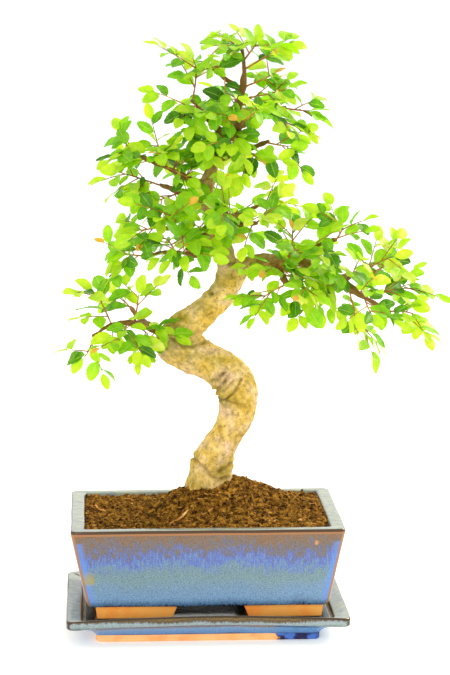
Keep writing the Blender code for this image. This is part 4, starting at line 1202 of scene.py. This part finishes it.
# Branches, each starting inside the wood that carries it
BRANCHES = {
    "leader": [
        (0.0010, 0.0010, 0.3340, 0.0044),
        (0.0075, 0.0000, 0.3530, 0.0040),
        (0.0175, -0.0020, 0.3730, 0.0035),
        (0.0260, -0.0030, 0.3960, 0.0030),
        (0.0300, -0.0030, 0.4180, 0.0023),
        (0.0290, -0.0030, 0.4400, 0.0014),
    ],
    "top_left": [
        (0.0175, -0.0020, 0.3730, 0.0026),
        (0.0050, -0.0060, 0.3860, 0.0022),
        (-0.0100, -0.0060, 0.4020, 0.0014),
    ],
    "top_right": [
        (0.0200, -0.0020, 0.3790, 0.0028),
        (0.0400, -0.0040, 0.3880, 0.0022),
        (0.0620, -0.0030, 0.3960, 0.0014),
    ],
    "top_front": [
        (0.0160, -0.0020, 0.3700, 0.0026),
        (0.0240, -0.0180, 0.3790, 0.0021),
        (0.0270, -0.0380, 0.3880, 0.0014),
    ],
    "top_back": [
        (0.0220, -0.0030, 0.3850, 0.0026),
        (0.0270, 0.0160, 0.3930, 0.0021),
        (0.0260, 0.0360, 0.3990, 0.0014),
    ],
    "top_low_right": [
        (0.0090, 0.0000, 0.3560, 0.0028),
        (0.0280, 0.0030, 0.3620, 0.0022),
        (0.0500, 0.0050, 0.3700, 0.0014),
    ],
    "top_high_left": [
        (0.0290, -0.0030, 0.4080, 0.0020),
        (0.0150, 0.0020, 0.4180, 0.0016),
        (0.0030, 0.0040, 0.4280, 0.0012),
    ],
    "mid_left": [
        (0.0030, 0.0015, 0.3260, 0.0036),
        (-0.0120, -0.0040, 0.3420, 0.0029),
        (-0.0300, -0.0060, 0.3520, 0.0021),
        (-0.0480, -0.0050, 0.3600, 0.0014),
    ],
    "mid_left_low": [
        (0.0060, 0.0020, 0.3180, 0.0032),
        (-0.0140, 0.0060, 0.3300, 0.0026),
        (-0.0340, 0.0100, 0.3370, 0.0016),
    ],
    "mid_back": [
        (0.0080, 0.0020, 0.3120, 0.0030),
        (0.0050, 0.0200, 0.3210, 0.0024),
        (-0.0020, 0.0400, 0.3280, 0.0015),
    ],
    "mid_front_left": [
        (0.0130, 0.0010, 0.2960, 0.0034),
        (-0.0020, -0.0140, 0.3010, 0.0027),
        (-0.0220, -0.0240, 0.3060, 0.0020),
        (-0.0380, -0.0280, 0.3090, 0.0014),
    ],
    "mid_low_left": [
        (0.0150, 0.0000, 0.2870, 0.0032),
        (-0.0040, 0.0040, 0.2840, 0.0024),
        (-0.0260, 0.0060, 0.2860, 0.0018),
        (-0.0460, 0.0040, 0.2830, 0.0013),
    ],
    "mid_front_right": [
        (0.0110, 0.0015, 0.3030, 0.0030),
        (0.0240, -0.0140, 0.3080, 0.0024),
        (0.0390, -0.0260, 0.3110, 0.0015),
    ],
    "mid_right_back": [
        (0.0110, 0.0020, 0.3050, 0.0030),
        (0.0260, 0.0140, 0.3130, 0.0023),
        (0.0430, 0.0240, 0.3190, 0.0014),
    ],
    "right_branch": [
        (0.0170, 0.0000, 0.2620, 0.0080),
        (0.0300, -0.0030, 0.2755, 0.0066),
        (0.0475, -0.0070, 0.2805, 0.0052),
        (0.0685, -0.0100, 0.2815, 0.0044),
        (0.0930, -0.0110, 0.2700, 0.0036),
        (0.1175, -0.0080, 0.2545, 0.0028),
        (0.1420, -0.0040, 0.2390, 0.0016),
    ],
    "right_front": [
        (0.0480, -0.0070, 0.2805, 0.0030),
        (0.0560, -0.0220, 0.2740, 0.0024),
        (0.0600, -0.0420, 0.2660, 0.0015),
    ],
    "right_back": [
        (0.0600, -0.0090, 0.2820, 0.0030),
        (0.0700, 0.0100, 0.2860, 0.0024),
        (0.0780, 0.0320, 0.2860, 0.0015),
    ],
    "right_up": [
        (0.0685, -0.0100, 0.2815, 0.0028),
        (0.0820, -0.0160, 0.2920, 0.0022),
        (0.1000, -0.0180, 0.2980, 0.0014),
    ],
    "right_far_front": [
        (0.0930, -0.0110, 0.2700, 0.0026),
        (0.1080, -0.0240, 0.2640, 0.0020),
        (0.1200, -0.0380, 0.2540, 0.0013),
    ],
    "right_far_back": [
        (0.1000, -0.0105, 0.2660, 0.0026),
        (0.1180, 0.0060, 0.2690, 0.0020),
        (0.1330, 0.0240, 0.2680, 0.0013),
    ],
    "left_branch": [
        (-0.0240, 0.0060, 0.2180, 0.0048),
        (-0.0400, 0.0020, 0.2290, 0.0034),
        (-0.0560, -0.0020, 0.2330, 0.0026),
        (-0.0720, -0.0040, 0.2310, 0.0018),
        (-0.0850, -0.0040, 0.2230, 0.0013),
    ],
    "left_front": [
        (-0.0440, 0.0010, 0.2300, 0.0024),
        (-0.0540, -0.0160, 0.2340, 0.0019),
        (-0.0600, -0.0320, 0.2360, 0.0013),
    ],
    "left_back": [
        (-0.0420, 0.0020, 0.2295, 0.0024),
        (-0.0520, 0.0180, 0.2370, 0.0019),
        (-0.0560, 0.0340, 0.2410, 0.0013),
    ],
}

# %% Fuse the tubes into one skin
VOXEL = 0.00085
routes = {"lower": smooth_route(LOWER_TRUNK, 6), "upper": smooth_route(UPPER_TRUNK, 6)}
for name, points in BRANCHES.items():
    routes[name] = smooth_route(points, 6)

bm = bmesh.new()
for name, route in routes.items():
    swollen = [point.copy() for point in route]
    if name in BRANCHES:
        for index, point in enumerate(swollen[:8]):
            point[3] *= 1.0 + 0.35 * (1 - index / 8)
    grow_tube(bm, swollen, 20 if name in ("lower", "upper") else 10)
knee = bmesh.ops.create_icosphere(bm, subdivisions=3, radius=KNEE[3])["verts"]
bmesh.ops.translate(bm, vec=KNEE[:3], verts=knee)
bmesh.ops.recalc_face_normals(bm, faces=bm.faces)
rough_mesh = bpy.data.meshes.new("rough_wood")
bm.to_mesh(rough_mesh)
bm.free()
rough = bpy.data.objects.new("rough_wood", rough_mesh)
scene.collection.objects.link(rough)
fuse = rough.modifiers.new("Fuse", "REMESH")
fuse.mode = "VOXEL"
fuse.voxel_size = VOXEL
soften = rough.modifiers.new("Soften", "SMOOTH")
soften.factor = 0.5
soften.iterations = 6
graph = bpy.context.evaluated_depsgraph_get()
skin = bpy.data.meshes.new_from_object(rough.evaluated_get(graph))
bpy.data.objects.remove(rough)
print("wood skin", len(skin.vertices), "vertices")

# %% [markdown]
# Each fold is a short line seen from the front, with a depth and a width. A vertex near the line
# sinks, and one beside it rises a little, as bark bulges beside a fold. The same lines also
# paint shade into the skin's colour. Knots are round: some sink, some stand out; the hollow ones
# get deep painted shade and the raised ones a lighter dark mark.

# %% Press in folds and knots
FOLDS = [
    ([(0.0061, 0.1895), (0.0100, 0.1927), (0.0143, 0.1961)], 0.0011, 0.0013),
    ([(0.0075, 0.1800), (0.0123, 0.1865), (0.0175, 0.1934)], 0.0016, 0.0012),
    ([(0.0149, 0.1828), (0.0184, 0.1872), (0.0214, 0.1907)], 0.0007, 0.0009),
    ([(0.0100, 0.1735), (0.0156, 0.1755), (0.0222, 0.1826), (0.0280, 0.1920)], 0.0012, 0.0008),
    ([(0.0096, 0.1765), (0.0184, 0.1745), (0.0287, 0.1720)], 0.0007, 0.0011),
    ([(-0.0088, 0.1284), (-0.0014, 0.1235), (0.0047, 0.1165), (0.0100, 0.1133), (0.0161, 0.1140)],
     0.0014, 0.0014),
    ([(0.0200, 0.1241), (0.0161, 0.1218), (0.0108, 0.1195)], 0.0009, 0.0014),
    ([(0.0020, 0.2185), (-0.0052, 0.2161), (-0.0112, 0.2155), (-0.0173, 0.2168), (-0.0249, 0.2220)],
     0.0010, 0.0012),
    ([(0.0190, 0.2790), (0.0243, 0.2780), (0.0262, 0.2740)], 0.0012, 0.0014),
    ([(0.0020, 0.2390), (0.0060, 0.2410)], 0.0006, 0.0008),
]
# (x, z, radius, height): hollows have a negative height
KNOTS = [
    (0.0049, 0.2560, 0.0020, -0.0022),
    (0.0022, 0.2254, 0.0011, 0.0018),
    (0.0348, 0.1998, 0.0010, 0.0016),
    (-0.0123, 0.2446, 0.0015, 0.0011),
    (0.0163, 0.2445, 0.0016, 0.0010),
    (0.0131, 0.1463, 0.0016, 0.0008),
    (0.0214, 0.1648, 0.0018, 0.0009),
    (-0.0218, 0.2156, 0.0018, 0.0010),
    (0.0108, 0.2096, 0.0015, 0.0009),
    (0.0425, 0.2793, 0.0028, 0.0008),
]
# (x, z, radius, strength) of olive patches: algae, and painted shade at the fork and beside the folds
MOSS_AND_SHADE_PATCHES = [
    (-0.0340, 0.2172, 0.014, 0.75),
    (-0.0279, 0.2264, 0.014, 0.75),
    (-0.0203, 0.2325, 0.012, 0.70),
    (-0.0160, 0.2180, 0.012, 0.60),
    (-0.0100, 0.2080, 0.010, 0.45),
    (0.0060, 0.2060, 0.008, 0.45),
    (0.0110, 0.1860, 0.010, 0.75),
    (0.0150, 0.1750, 0.009, 0.80),
    (0.0131, 0.1203, 0.008, 0.65),
    (-0.0080, 0.1130, 0.010, 0.45),
    (0.0180, 0.2840, 0.012, 0.75),
    (0.0060, 0.2680, 0.010, 0.60),
    (-0.0020, 0.2450, 0.008, 0.40),
    (0.0340, 0.2880, 0.014, 0.60),
]


def near_line(x, z, points):
    """The distance from (x, z) to a line of points."""
    best = 1.0
    here = Vector((x, z))
    for a, b in zip(points, points[1:]):
        a, b = Vector(a), Vector(b)
        along = max(0.0, min(1.0, (here - a).dot(b - a) / (b - a).length_squared))
        best = min(best, (here - a.lerp(b, along)).length)
    return best


bm = bmesh.new()
bm.from_mesh(skin)
shade_layer = bm.verts.layers.float.new("shade")
moss_and_shade_layer = bm.verts.layers.float.new("moss_and_shade")
young_wood_and_shade_layer = bm.verts.layers.float.new("young_wood_and_shade")
bm.normal_update()
boxes = [
    (min(p[0] for p in fold) - 0.004, max(p[0] for p in fold) + 0.004,
     min(p[1] for p in fold) - 0.004, max(p[1] for p in fold) + 0.004)
    for fold, depth, width in FOLDS
]
moves = []
for vert in bm.verts:
    x, y, z = vert.co
    push = 0.0012 * noise.noise(vert.co * 75) + 0.0008 * noise.noise(vert.co * 210)
    shade_here = moss_and_shade_here = 0.0
    for (fold, depth, width), (x0, x1, z0, z1) in zip(FOLDS, boxes):
        if not (x0 < x < x1 and z0 < z < z1):
            continue
        distance = near_line(x, z, fold) / width
        fade = 0.75 + 0.5 * noise.noise(vert.co * 180)
        push += 1.5 * depth * fade * (0.45 * math.exp(-((distance - 1.9) ** 2)) - math.exp(-(distance**2)))
        # painted shade along the fold
        shade_here = max(shade_here, 0.62 * fade * math.exp(-(distance**2)))
    for knot_x, knot_z, radius, height in KNOTS:
        if y > 0.004 or abs(x - knot_x) > 3 * radius or abs(z - knot_z) > 3 * radius:
            continue
        distance = math.hypot(x - knot_x, z - knot_z) / radius
        push += height * math.exp(-(distance**2))
        # painted shade in a knot hollow, a lighter dark mark on a raised knot
        shade_here = max(shade_here, (0.8 if height < 0 else 0.45) * math.exp(-((distance / 0.8) ** 2)))
    # olive patches, partly painted shade
    for olive_x, olive_z, radius, strength in MOSS_AND_SHADE_PATCHES:
        distance = math.hypot(x - olive_x, z - olive_z) / radius
        if distance < 2:
            moss_and_shade_here = max(moss_and_shade_here, strength * math.exp(-(distance**2)))
    if z < 0.125 and abs(x) < 0.04:
        angle = math.atan2(y, x - 0.003)
        swell = math.exp(-(((z - 0.104) / 0.010) ** 2)) if z > 0.104 else 1.0
        push += 0.0011 * swell * (1 + 0.7 * math.sin(3 * angle + 1.0))
    vert[shade_layer] = shade_here
    vert[moss_and_shade_layer] = moss_and_shade_here * (0.75 + 0.9 * noise.noise(vert.co * 260))
    moves.append((vert, vert.normal * push))
for vert, move in moves:
    vert.co += move
print("folds and knots pressed into", len(moves), "vertices")

# %% [markdown]
# Bark darkens and turns brown as the wood gets thinner, and the same dark brown paints the shade
# that falls on the thin branches inside the crown. How thin the wood is at a vertex comes from
# the nearest point of any route, so the tint follows each branch out to its tip.

# %% Tint the young wood and finish the piece
points = [point for name in ("lower", "upper") for point in routes[name]]
points += [point for name in BRANCHES for point in routes[name][7:]]
nearest = KDTree(len(points))
for index, point in enumerate(points):
    nearest.insert(point[:3], index)
nearest.balance()
for vert in bm.verts:
    found = nearest.find_n(vert.co, 6)
    weights = [1 / (distance**2 + 1e-6) for place, index, distance in found]
    radius = sum(points[f[1]][3] * w for f, w in zip(found, weights)) / sum(weights)
    vert[young_wood_and_shade_layer] = max(0.0, min(0.9, (0.0078 - radius) / 0.0055))
bmesh.ops.translate(bm, vec=MIDDLE, verts=bm.verts)
wood = make_piece("trunk_and_branches_of_elm", bm, [bark], "trunk_and_branches")
wood_tree = BVHTree.FromPolygons(
    [v.co for v in wood.data.vertices], [p.vertices for p in wood.data.polygons]
)
print("wood", len(wood.data.polygons), "faces")


# %% Where the sprays grow
# Sprays: the branch that carries each, how far along it (0 to 1), and where its last leaf ends
SPRAYS = {
    "top": [
        ("leader", 0.98, (0.0130, -0.0050, 0.4595)),
        ("leader", 0.92, (0.0430, 0.0060, 0.4580)),
        ("leader", 0.86, (0.0575, -0.0140, 0.4480)),
        ("leader", 0.74, (0.0660, 0.0100, 0.4290)),
        ("leader", 0.66, (0.0760, -0.0120, 0.4170)),
        ("leader", 0.32, (-0.0140, -0.0280, 0.3790)),
        ("top_high_left", 0.95, (-0.0060, 0.0200, 0.4380)),
        ("top_high_left", 0.70, (0.0080, -0.0320, 0.4320)),
        ("top_left", 0.97, (-0.0150, -0.0050, 0.4455)),
        ("top_left", 0.85, (-0.0280, -0.0120, 0.4030)),
        ("top_left", 0.60, (-0.0060, -0.0420, 0.3980)),
        ("top_right", 0.97, (0.0945, -0.0040, 0.3950)),
        ("top_right", 0.75, (0.0780, -0.0300, 0.3780)),
        ("top_front", 0.95, (0.0420, -0.0620, 0.4020)),
        ("top_front", 0.60, (0.0180, -0.0520, 0.3660)),
        ("top_back", 0.97, (0.0260, 0.0640, 0.4050)),
        ("top_back", 0.70, (-0.0040, 0.0480, 0.3880)),
        ("top_back", 0.78, (0.0620, 0.0480, 0.3940)),
        ("top_low_right", 0.95, (0.0800, 0.0060, 0.3670)),
        ("top_low_right", 0.60, (0.0480, -0.0240, 0.3520)),
    ],
    "middle": [
        ("mid_left", 0.97, (-0.0740, -0.0060, 0.3720)),
        ("mid_left", 0.80, (-0.0600, -0.0300, 0.3600)),
        ("mid_left", 0.55, (-0.0200, -0.0340, 0.3700)),
        ("mid_left", 0.72, (-0.0420, 0.0200, 0.3760)),
        ("mid_left_low", 0.97, (-0.0790, 0.0080, 0.3500)),
        ("mid_left_low", 0.60, (-0.0500, -0.0120, 0.3240)),
        ("mid_back", 0.97, (-0.0140, 0.0660, 0.3360)),
        ("mid_back", 0.70, (0.0260, 0.0500, 0.3360)),
        ("mid_front_left", 0.95, (-0.0640, -0.0340, 0.3060)),
        ("mid_front_left", 0.78, (-0.0300, -0.0560, 0.3260)),
        ("mid_front_left", 0.60, (-0.0160, -0.0500, 0.2780)),
        ("mid_low_left", 0.97, (-0.0740, 0.0020, 0.2790)),
        ("mid_low_left", 0.60, (-0.0400, 0.0400, 0.2960)),
        ("mid_right_back", 0.95, (0.0700, 0.0200, 0.3280)),
        ("mid_front_right", 0.95, (0.0560, -0.0460, 0.3180)),
        ("mid_front_right", 0.50, (0.0120, -0.0520, 0.3320)),
    ],
    "right": [
        ("right_branch", 0.98, (0.1740, -0.0040, 0.2280)),
        ("right_branch", 0.88, (0.1770, -0.0160, 0.2540)),
        ("right_branch", 0.78, (0.1420, 0.0060, 0.2060)),
        ("right_branch", 0.48, (0.0620, -0.0180, 0.3190)),
        ("right_branch", 0.60, (0.0900, -0.0180, 0.2300)),
        ("right_front", 0.95, (0.0320, -0.0520, 0.2460)),
        ("right_front", 0.60, (0.0860, -0.0560, 0.2560)),
        ("right_back", 0.95, (0.0860, 0.0600, 0.2820)),
        ("right_up", 0.97, (0.1180, -0.0200, 0.3100)),
        ("right_far_front", 0.95, (0.1300, -0.0600, 0.2360)),
        ("right_far_back", 0.95, (0.1500, 0.0440, 0.2660)),
        ("right_far_back", 0.60, (0.1600, 0.0040, 0.2850)),
    ],
    "left": [
        ("left_branch", 0.98, (-0.1020, -0.0040, 0.1955)),
        ("left_branch", 0.72, (-0.0960, -0.0060, 0.2680)),
        ("left_branch", 0.45, (-0.0470, -0.0060, 0.2700)),
        ("left_front", 0.95, (-0.0700, -0.0580, 0.2220)),
        ("left_front", 0.50, (-0.0380, -0.0400, 0.2200)),
        ("left_back", 0.95, (-0.0820, 0.0540, 0.2440)),
    ],
}

# %% [markdown]
# ## Elm leaves
#
# An elm leaf is thin and half lets the light through, so it is a single sheet: a Principled
# shader for the waxy upper side mixed with a translucent one, which gives the yellow-green glow
# where the light comes from behind. The blade's own UV runs across and along it, and from that
# come the pale midrib and about ten side veins on each side, at the slant they have on the plant.
# An attribute called "tone" is set once for each leaf: 0 is an old dark leaf, 1 a new pale one.

# %% Leaf finish
VEINS = 11.0
VEIN_SLANT = 0.9

leaf_green, shader = new_material(
    "living_elm_leaf", {"Roughness": 0.38, "IOR": 1.42, "Specular IOR Level": 0.45}
)
tone = add_node(leaf_green, "Attribute", {"attribute_name": "tone"}).outputs["Fac"]
coords = add_node(leaf_green, "TexCoord")
blotch = add_node(
    leaf_green, "TexNoise", {"Scale": 190.0, "Detail": 2.0}, {"Vector": coords.outputs["Object"]}
)
shift = add_node(
    leaf_green,
    "MapRange",
    {"From Min": 0.3, "From Max": 0.7, "To Min": -0.09, "To Max": 0.09},
    {"Value": blotch.outputs["Fac"]},
)
toned = add_node(
    leaf_green, "Math", {"operation": "ADD"}, {0: tone, 1: shift.outputs["Result"]}
)
green = add_node(
    leaf_green,
    "ValToRGB",
    links={"Fac": toned.outputs["Value"]},
    stops=[
        (0.00, "2E6C00"),
        (0.20, "589E00"),
        (0.42, "88CC00"),
        (0.62, "B0DE00"),
        (0.82, "D4EC28"),
        (0.96, "ECF080"),
        (1.00, "EEB040"),
    ],
)
split = add_node(leaf_green, "SeparateXYZ", links={"Vector": coords.outputs["UV"]})
off_middle = add_node(
    leaf_green, "Math", {"operation": "SUBTRACT", 1: 0.5}, {0: split.outputs["X"]}
)
aside = add_node(leaf_green, "Math", {"operation": "ABSOLUTE"}, {0: off_middle.outputs["Value"]})
slant = add_node(
    leaf_green,
    "Math",
    {"operation": "MULTIPLY_ADD", 1: -VEIN_SLANT},
    {0: aside.outputs["Value"], 2: split.outputs["Y"]},
)
count = add_node(
    leaf_green, "Math", {"operation": "MULTIPLY", 1: VEINS}, {0: slant.outputs["Value"]}
)
wave = add_node(leaf_green, "Math", {"operation": "PINGPONG", 1: 0.5}, {0: count.outputs["Value"]})
side_vein = add_node(
    leaf_green,
    "MapRange",
    {"From Min": 0.02, "From Max": 0.14, "To Min": 0.55, "To Max": 0.0},
    {"Value": wave.outputs["Value"]},
)
midrib = add_node(
    leaf_green,
    "MapRange",
    {"From Min": 0.012, "From Max": 0.05, "To Min": 0.9, "To Max": 0.0},
    {"Value": aside.outputs["Value"]},
)
veins = add_node(
    leaf_green,
    "Math",
    {"operation": "MAXIMUM"},
    {0: side_vein.outputs["Result"], 1: midrib.outputs["Result"]},
)
vein_share = add_node(
    leaf_green, "Math", {"operation": "MULTIPLY", 1: 0.45}, {0: veins.outputs["Value"]}
)
veined = add_node(
    leaf_green,
    "Mix",
    {"data_type": "RGBA", 7: "D6E486"},
    {0: vein_share.outputs["Value"], 6: green.outputs["Color"]},
)
join(leaf_green, veined.outputs[2], shader.inputs["Base Color"])
bump = add_node(
    leaf_green,
    "Bump",
    {"Strength": 0.5, "Distance": 0.0004, "invert": True},
    {"Height": veins.outputs["Value"]},
)
join(leaf_green, bump.outputs["Normal"], shader.inputs["Normal"])
glow = add_node(
    leaf_green,
    "Mix",
    {"data_type": "RGBA", "blend_type": "MULTIPLY", 0: 1.0, 7: "EEFF9A"},
    {6: veined.outputs[2]},
)
through = add_node(leaf_green, "BsdfTranslucent", links={"Color": glow.outputs[2]})
both = add_node(
    leaf_green,
    "MixShader",
    {0: 0.42},
    {1: shader.outputs["BSDF"], 2: through.outputs["BSDF"]},
)
output = leaf_green.node_tree.nodes["Material Output"]
join(leaf_green, both.outputs["Shader"], output.inputs["Surface"])

# %% Twig finish
shoot_bark, shader = new_material(
    "young_shoot_bark", {"Roughness": 0.6, "Specular IOR Level": 0.3}
)
coords = add_node(shoot_bark, "TexCoord").outputs["Object"]
flush = add_node(shoot_bark, "TexNoise", {"Scale": 120.0, "Detail": 3.0}, {"Vector": coords})
tint = add_node(
    shoot_bark,
    "ValToRGB",
    links={"Fac": flush.outputs["Fac"]},
    stops=[(0.34, "7A4A18"), (0.5, "A86A28"), (0.66, "CC9C48")],
)
join(shoot_bark, tint.outputs["Color"], shader.inputs["Base Color"])

# %% [markdown]
# ## Four blades to draw from
#
# The blade starts as a grid, four cells across and twelve along. Each row is scaled to the leaf's
# outline, every second row stands out a little at the edge as a tooth, the two halves fold up
# from the midrib and the tip curls down. Four blades with other folds, curls and widths are
# enough: turned at random, and from 9 to 23 mm long with their stalks, hardly two look alike.

# %% Leaf blades
LEAF_ROWS = 12
STALK = 0.12  # of the leaf's whole length


def leaf_blade(seed, fold, curl, broad):
    """A leaf one unit long from the foot of its stalk, its tip along Y, its upper side up."""
    bm = bmesh.new()
    bm.loops.layers.uv.new("UVMap")
    bmesh.ops.create_grid(bm, x_segments=4, y_segments=LEAF_ROWS, size=0.5, calc_uvs=True)
    for vert in bm.verts:
        across, along = 2 * vert.co.x, vert.co.y + 0.5
        row = round(along * LEAF_ROWS)
        half = broad / 2 * max(0.006, math.sin(math.pi * along**0.92)) ** 0.60
        half *= 1 + 0.10 * math.copysign(1 - along, across)
        tooth = 0.93 if abs(across) > 0.9 and row % 2 == 0 else 1.0
        sweep = 0.018 if abs(across) > 0.9 and row % 2 else 0.0
        wave = 0.025 * abs(across) * math.sin(9 * along + seed)
        vert.co.x = across * half * tooth
        vert.co.y = STALK + (1 - STALK) * along + sweep - 0.05 * abs(across) * (1 - along)
        vert.co.z = fold * abs(vert.co.x) - curl * along**2 + wave
    grow_tube(bm, [(0, 0, 0, 0.024), (0, STALK + 0.03, -0.006, 0.015)], 3)
    mesh = bpy.data.meshes.new("blade")
    bm.to_mesh(mesh)
    bm.free()
    return mesh


blades = [
    leaf_blade(0.0, 0.30, 0.10, 0.58),
    leaf_blade(1.7, 0.16, 0.18, 0.66),
    leaf_blade(3.1, 0.42, 0.04, 0.52),
    leaf_blade(4.9, 0.20, 0.24, 0.62),
]
print("blade", len(blades[0].polygons), "faces")

# %% [markdown]
# ## Leafy shoots
#
# Every solid spray becomes one twig with two to six side shoots, and one to three more shoots
# fill the pad near the branch. Elm leaves stand left and right in turn, six to eight millimetres
# apart, all in one plane that faces up and outwards to the light, and they get smaller and paler
# towards the growing tip. The last leaf of each twig ends where the solid spray ends. Side shoots
# stand out further, but the whole tree grows by less than a centimetre on any side.

# %% Grow the sprays
LEAF_SIZE = 0.0190
LEAF_PITCH = 0.39  # between two leaves, as a share of a leaf's length
TWIG_THICK = 0.00075
CLEAR_OF_WOOD = 0.0035


def point_on(route, share):
    """The place, direction and radius at a share of the way along a route."""
    place = share * (len(route) - 1)
    index = min(int(place), len(route) - 2)
    here = route[index].lerp(route[index + 1], place - index)
    along = (route[index + 1] - route[index]).to_3d().normalized()
    return here.to_3d(), along, here.w


def bezier(points, t):
    """Place and direction on a bent line given by its start, bend and end."""
    start, bend, end = points
    place = (1 - t) ** 2 * start + 2 * t * (1 - t) * bend + t**2 * end
    along = (1 - t) * (bend - start) + t * (end - bend)
    return place, along.normalized()


def add_leaf(bm, tone_layer, rng, root, stem, upper, size, tone):
    """One leaf from its root along its stem; False, and no leaf, if it would touch the wood."""
    stem = stem.normalized()
    middle = root + stem * size * 0.6
    gap = wood_tree.find_nearest(middle + MIDDLE)[3]
    if gap < CLEAR_OF_WOOD:
        return False
    across = stem.cross(upper).normalized()
    turn = Matrix((across, stem, across.cross(stem))).transposed()
    roll = Matrix.Rotation(rng.gauss(0, 0.32), 3, "Y")
    matrix = Matrix.LocRotScale(root, turn @ roll, Vector((size,) * 3))
    for vert in add_mesh(bm, rng.choice(blades), matrix, 0):
        vert[tone_layer] = tone
    return True


def grow_shoot(bm, tone_layer, rng, points, upper, first, size, thick, tone):
    """A twig with leaves left and right in turn and one at its end; says how many it has."""
    old_faces = len(bm.faces)
    route = [(*bezier(points, s / 6)[0], thick * (1 - 0.5 * s / 6)) for s in range(7)]
    grow_tube(bm, route, 5)
    bm.faces.ensure_lookup_table()
    for face in bm.faces[old_faces:]:
        face.material_index = 1
    length = (points[2] - points[0]).length
    leaves = max(2, round(length * (1 - first) / (size * LEAF_PITCH)))
    grown = 0
    for number in range(leaves):
        share = (number + 0.5) / leaves
        root, along = bezier(points, first + (1 - first) * share * 0.97)
        side = along.cross(upper).normalized() * (1 if number % 2 else -1)
        angle = math.radians(rng.uniform(48, 72) - 16 * share)
        stem = along * math.cos(angle) + side * math.sin(angle)
        stem += Vector((0, 0, rng.uniform(-0.30, 0.12)))
        here = upper + Vector([rng.uniform(-0.45, 0.45) for _ in range(3)])
        leaf_size = size * rng.uniform(0.72, 1.16) * (1.08 - 0.25 * share)
        leaf_tone = min(0.9, tone + rng.gauss(0, 0.19) + 0.14 * (share - 0.5))
        grown += add_leaf(bm, tone_layer, rng, root, stem, here, leaf_size, leaf_tone)
    along = bezier(points, 1.0)[1]
    orange = rng.random() < 0.05
    tip_tone = 1.2 if orange else min(0.9, tone + 0.2)
    tip_size = size * (0.55 if orange else 0.82)
    return grown + add_leaf(bm, tone_layer, rng, points[2], along, upper, tip_size, tip_tone)


def grow_spray(name, route, share, tip, shoots_wanted, fillers):
    """A twig with side shoots, in place of the solid of that name; says how many leaves."""
    rng = random.Random(name)
    centre, direction, radius = point_on(route, share)
    towards = (tip - centre).normalized()
    leave = (towards - 0.55 * towards.dot(direction) * direction).normalized()
    start = centre + leave * radius * 0.6
    reach = (tip - start).length
    bend = start + leave * 0.45 * reach + Vector((0, 0, 0.003))
    end = tip - (tip - bend).normalized() * LEAF_SIZE * 0.82
    depth = -0.5 if tip.y < 0.015 else 0.5
    drift = Vector([rng.uniform(-0.3, 0.3) for _ in range(3)])
    upper = (Vector((0.25 * math.copysign(1, tip.x - 0.01), depth, 0.75)) + drift).normalized()
    bm = bmesh.new()
    bm.loops.layers.uv.new("UVMap")
    tone_layer = bm.verts.layers.float.new("tone")
    tone = 0.47 + rng.gauss(0, 0.07)
    points = (start, bend, end)
    first = min(0.5, (radius + 0.005) / max(reach, 0.01))
    leaves = grow_shoot(bm, tone_layer, rng, points, upper, first, LEAF_SIZE, TWIG_THICK, tone)
    shoots = shoots_wanted if reach < 0.035 else shoots_wanted + 1 if reach < 0.055 else shoots_wanted + 2
    for number in range(shoots):
        spot = 0.10 + 0.75 * (number + rng.uniform(0.1, 0.6)) / shoots
        root, along = bezier(points, spot)
        side = along.cross(upper).normalized() * (1 if number % 2 else -1)
        angle = math.radians(rng.uniform(38, 62))
        away = along * math.cos(angle) + side * math.sin(angle)
        away += Vector([rng.uniform(-0.25, 0.25), rng.uniform(-0.35, 0.35), rng.uniform(-0.25, 0.2)])
        long = rng.uniform(0.012, 0.021) + 0.16 * reach
        shoot = (root, root + away * long * 0.5 + Vector((0, 0, 0.001)), root + away * long)
        leaves += grow_shoot(
            bm, tone_layer, rng, shoot, upper, 0.25, LEAF_SIZE * 0.88, TWIG_THICK * 0.7, tone + 0.05
        )
    for number in range(fillers):
        root, along, thick = point_on(route, share * rng.uniform(0.35, 0.95))
        away = Vector((rng.uniform(-0.7, 0.7), depth * rng.uniform(0.8, 1.8), rng.uniform(-0.3, 0.6)))
        away.normalize()
        long = rng.uniform(0.022, 0.034)
        shoot = (root, root + away * long * 0.5 + Vector((0, 0, 0.002)), root + away * long)
        leaves += grow_shoot(
            bm, tone_layer, rng, shoot, upper, 0.3, LEAF_SIZE * 0.92, TWIG_THICK * 0.8, tone - 0.08
        )
    bmesh.ops.translate(bm, vec=MIDDLE, verts=bm.verts)
    make_piece(f"leafy_{name}", bm, [leaf_green, shoot_bark], name)
    return leaves


# side shoots on the shortest twig of a pad, and extra shoots that fill it near the branch
FULLNESS = {"top": (2, 1), "middle": (4, 2), "right": (3, 3), "left": (2, 1)}

leaf_count = 0
for pad, sprays in SPRAYS.items():
    for number, (branch, share, tip) in enumerate(sprays, 1):
        name = f"spray_{pad}_{number:02d}"
        leaf_count += grow_spray(name, routes[branch], share, Vector(tip), *FULLNESS[pad])
print(leaf_count, "leaves")
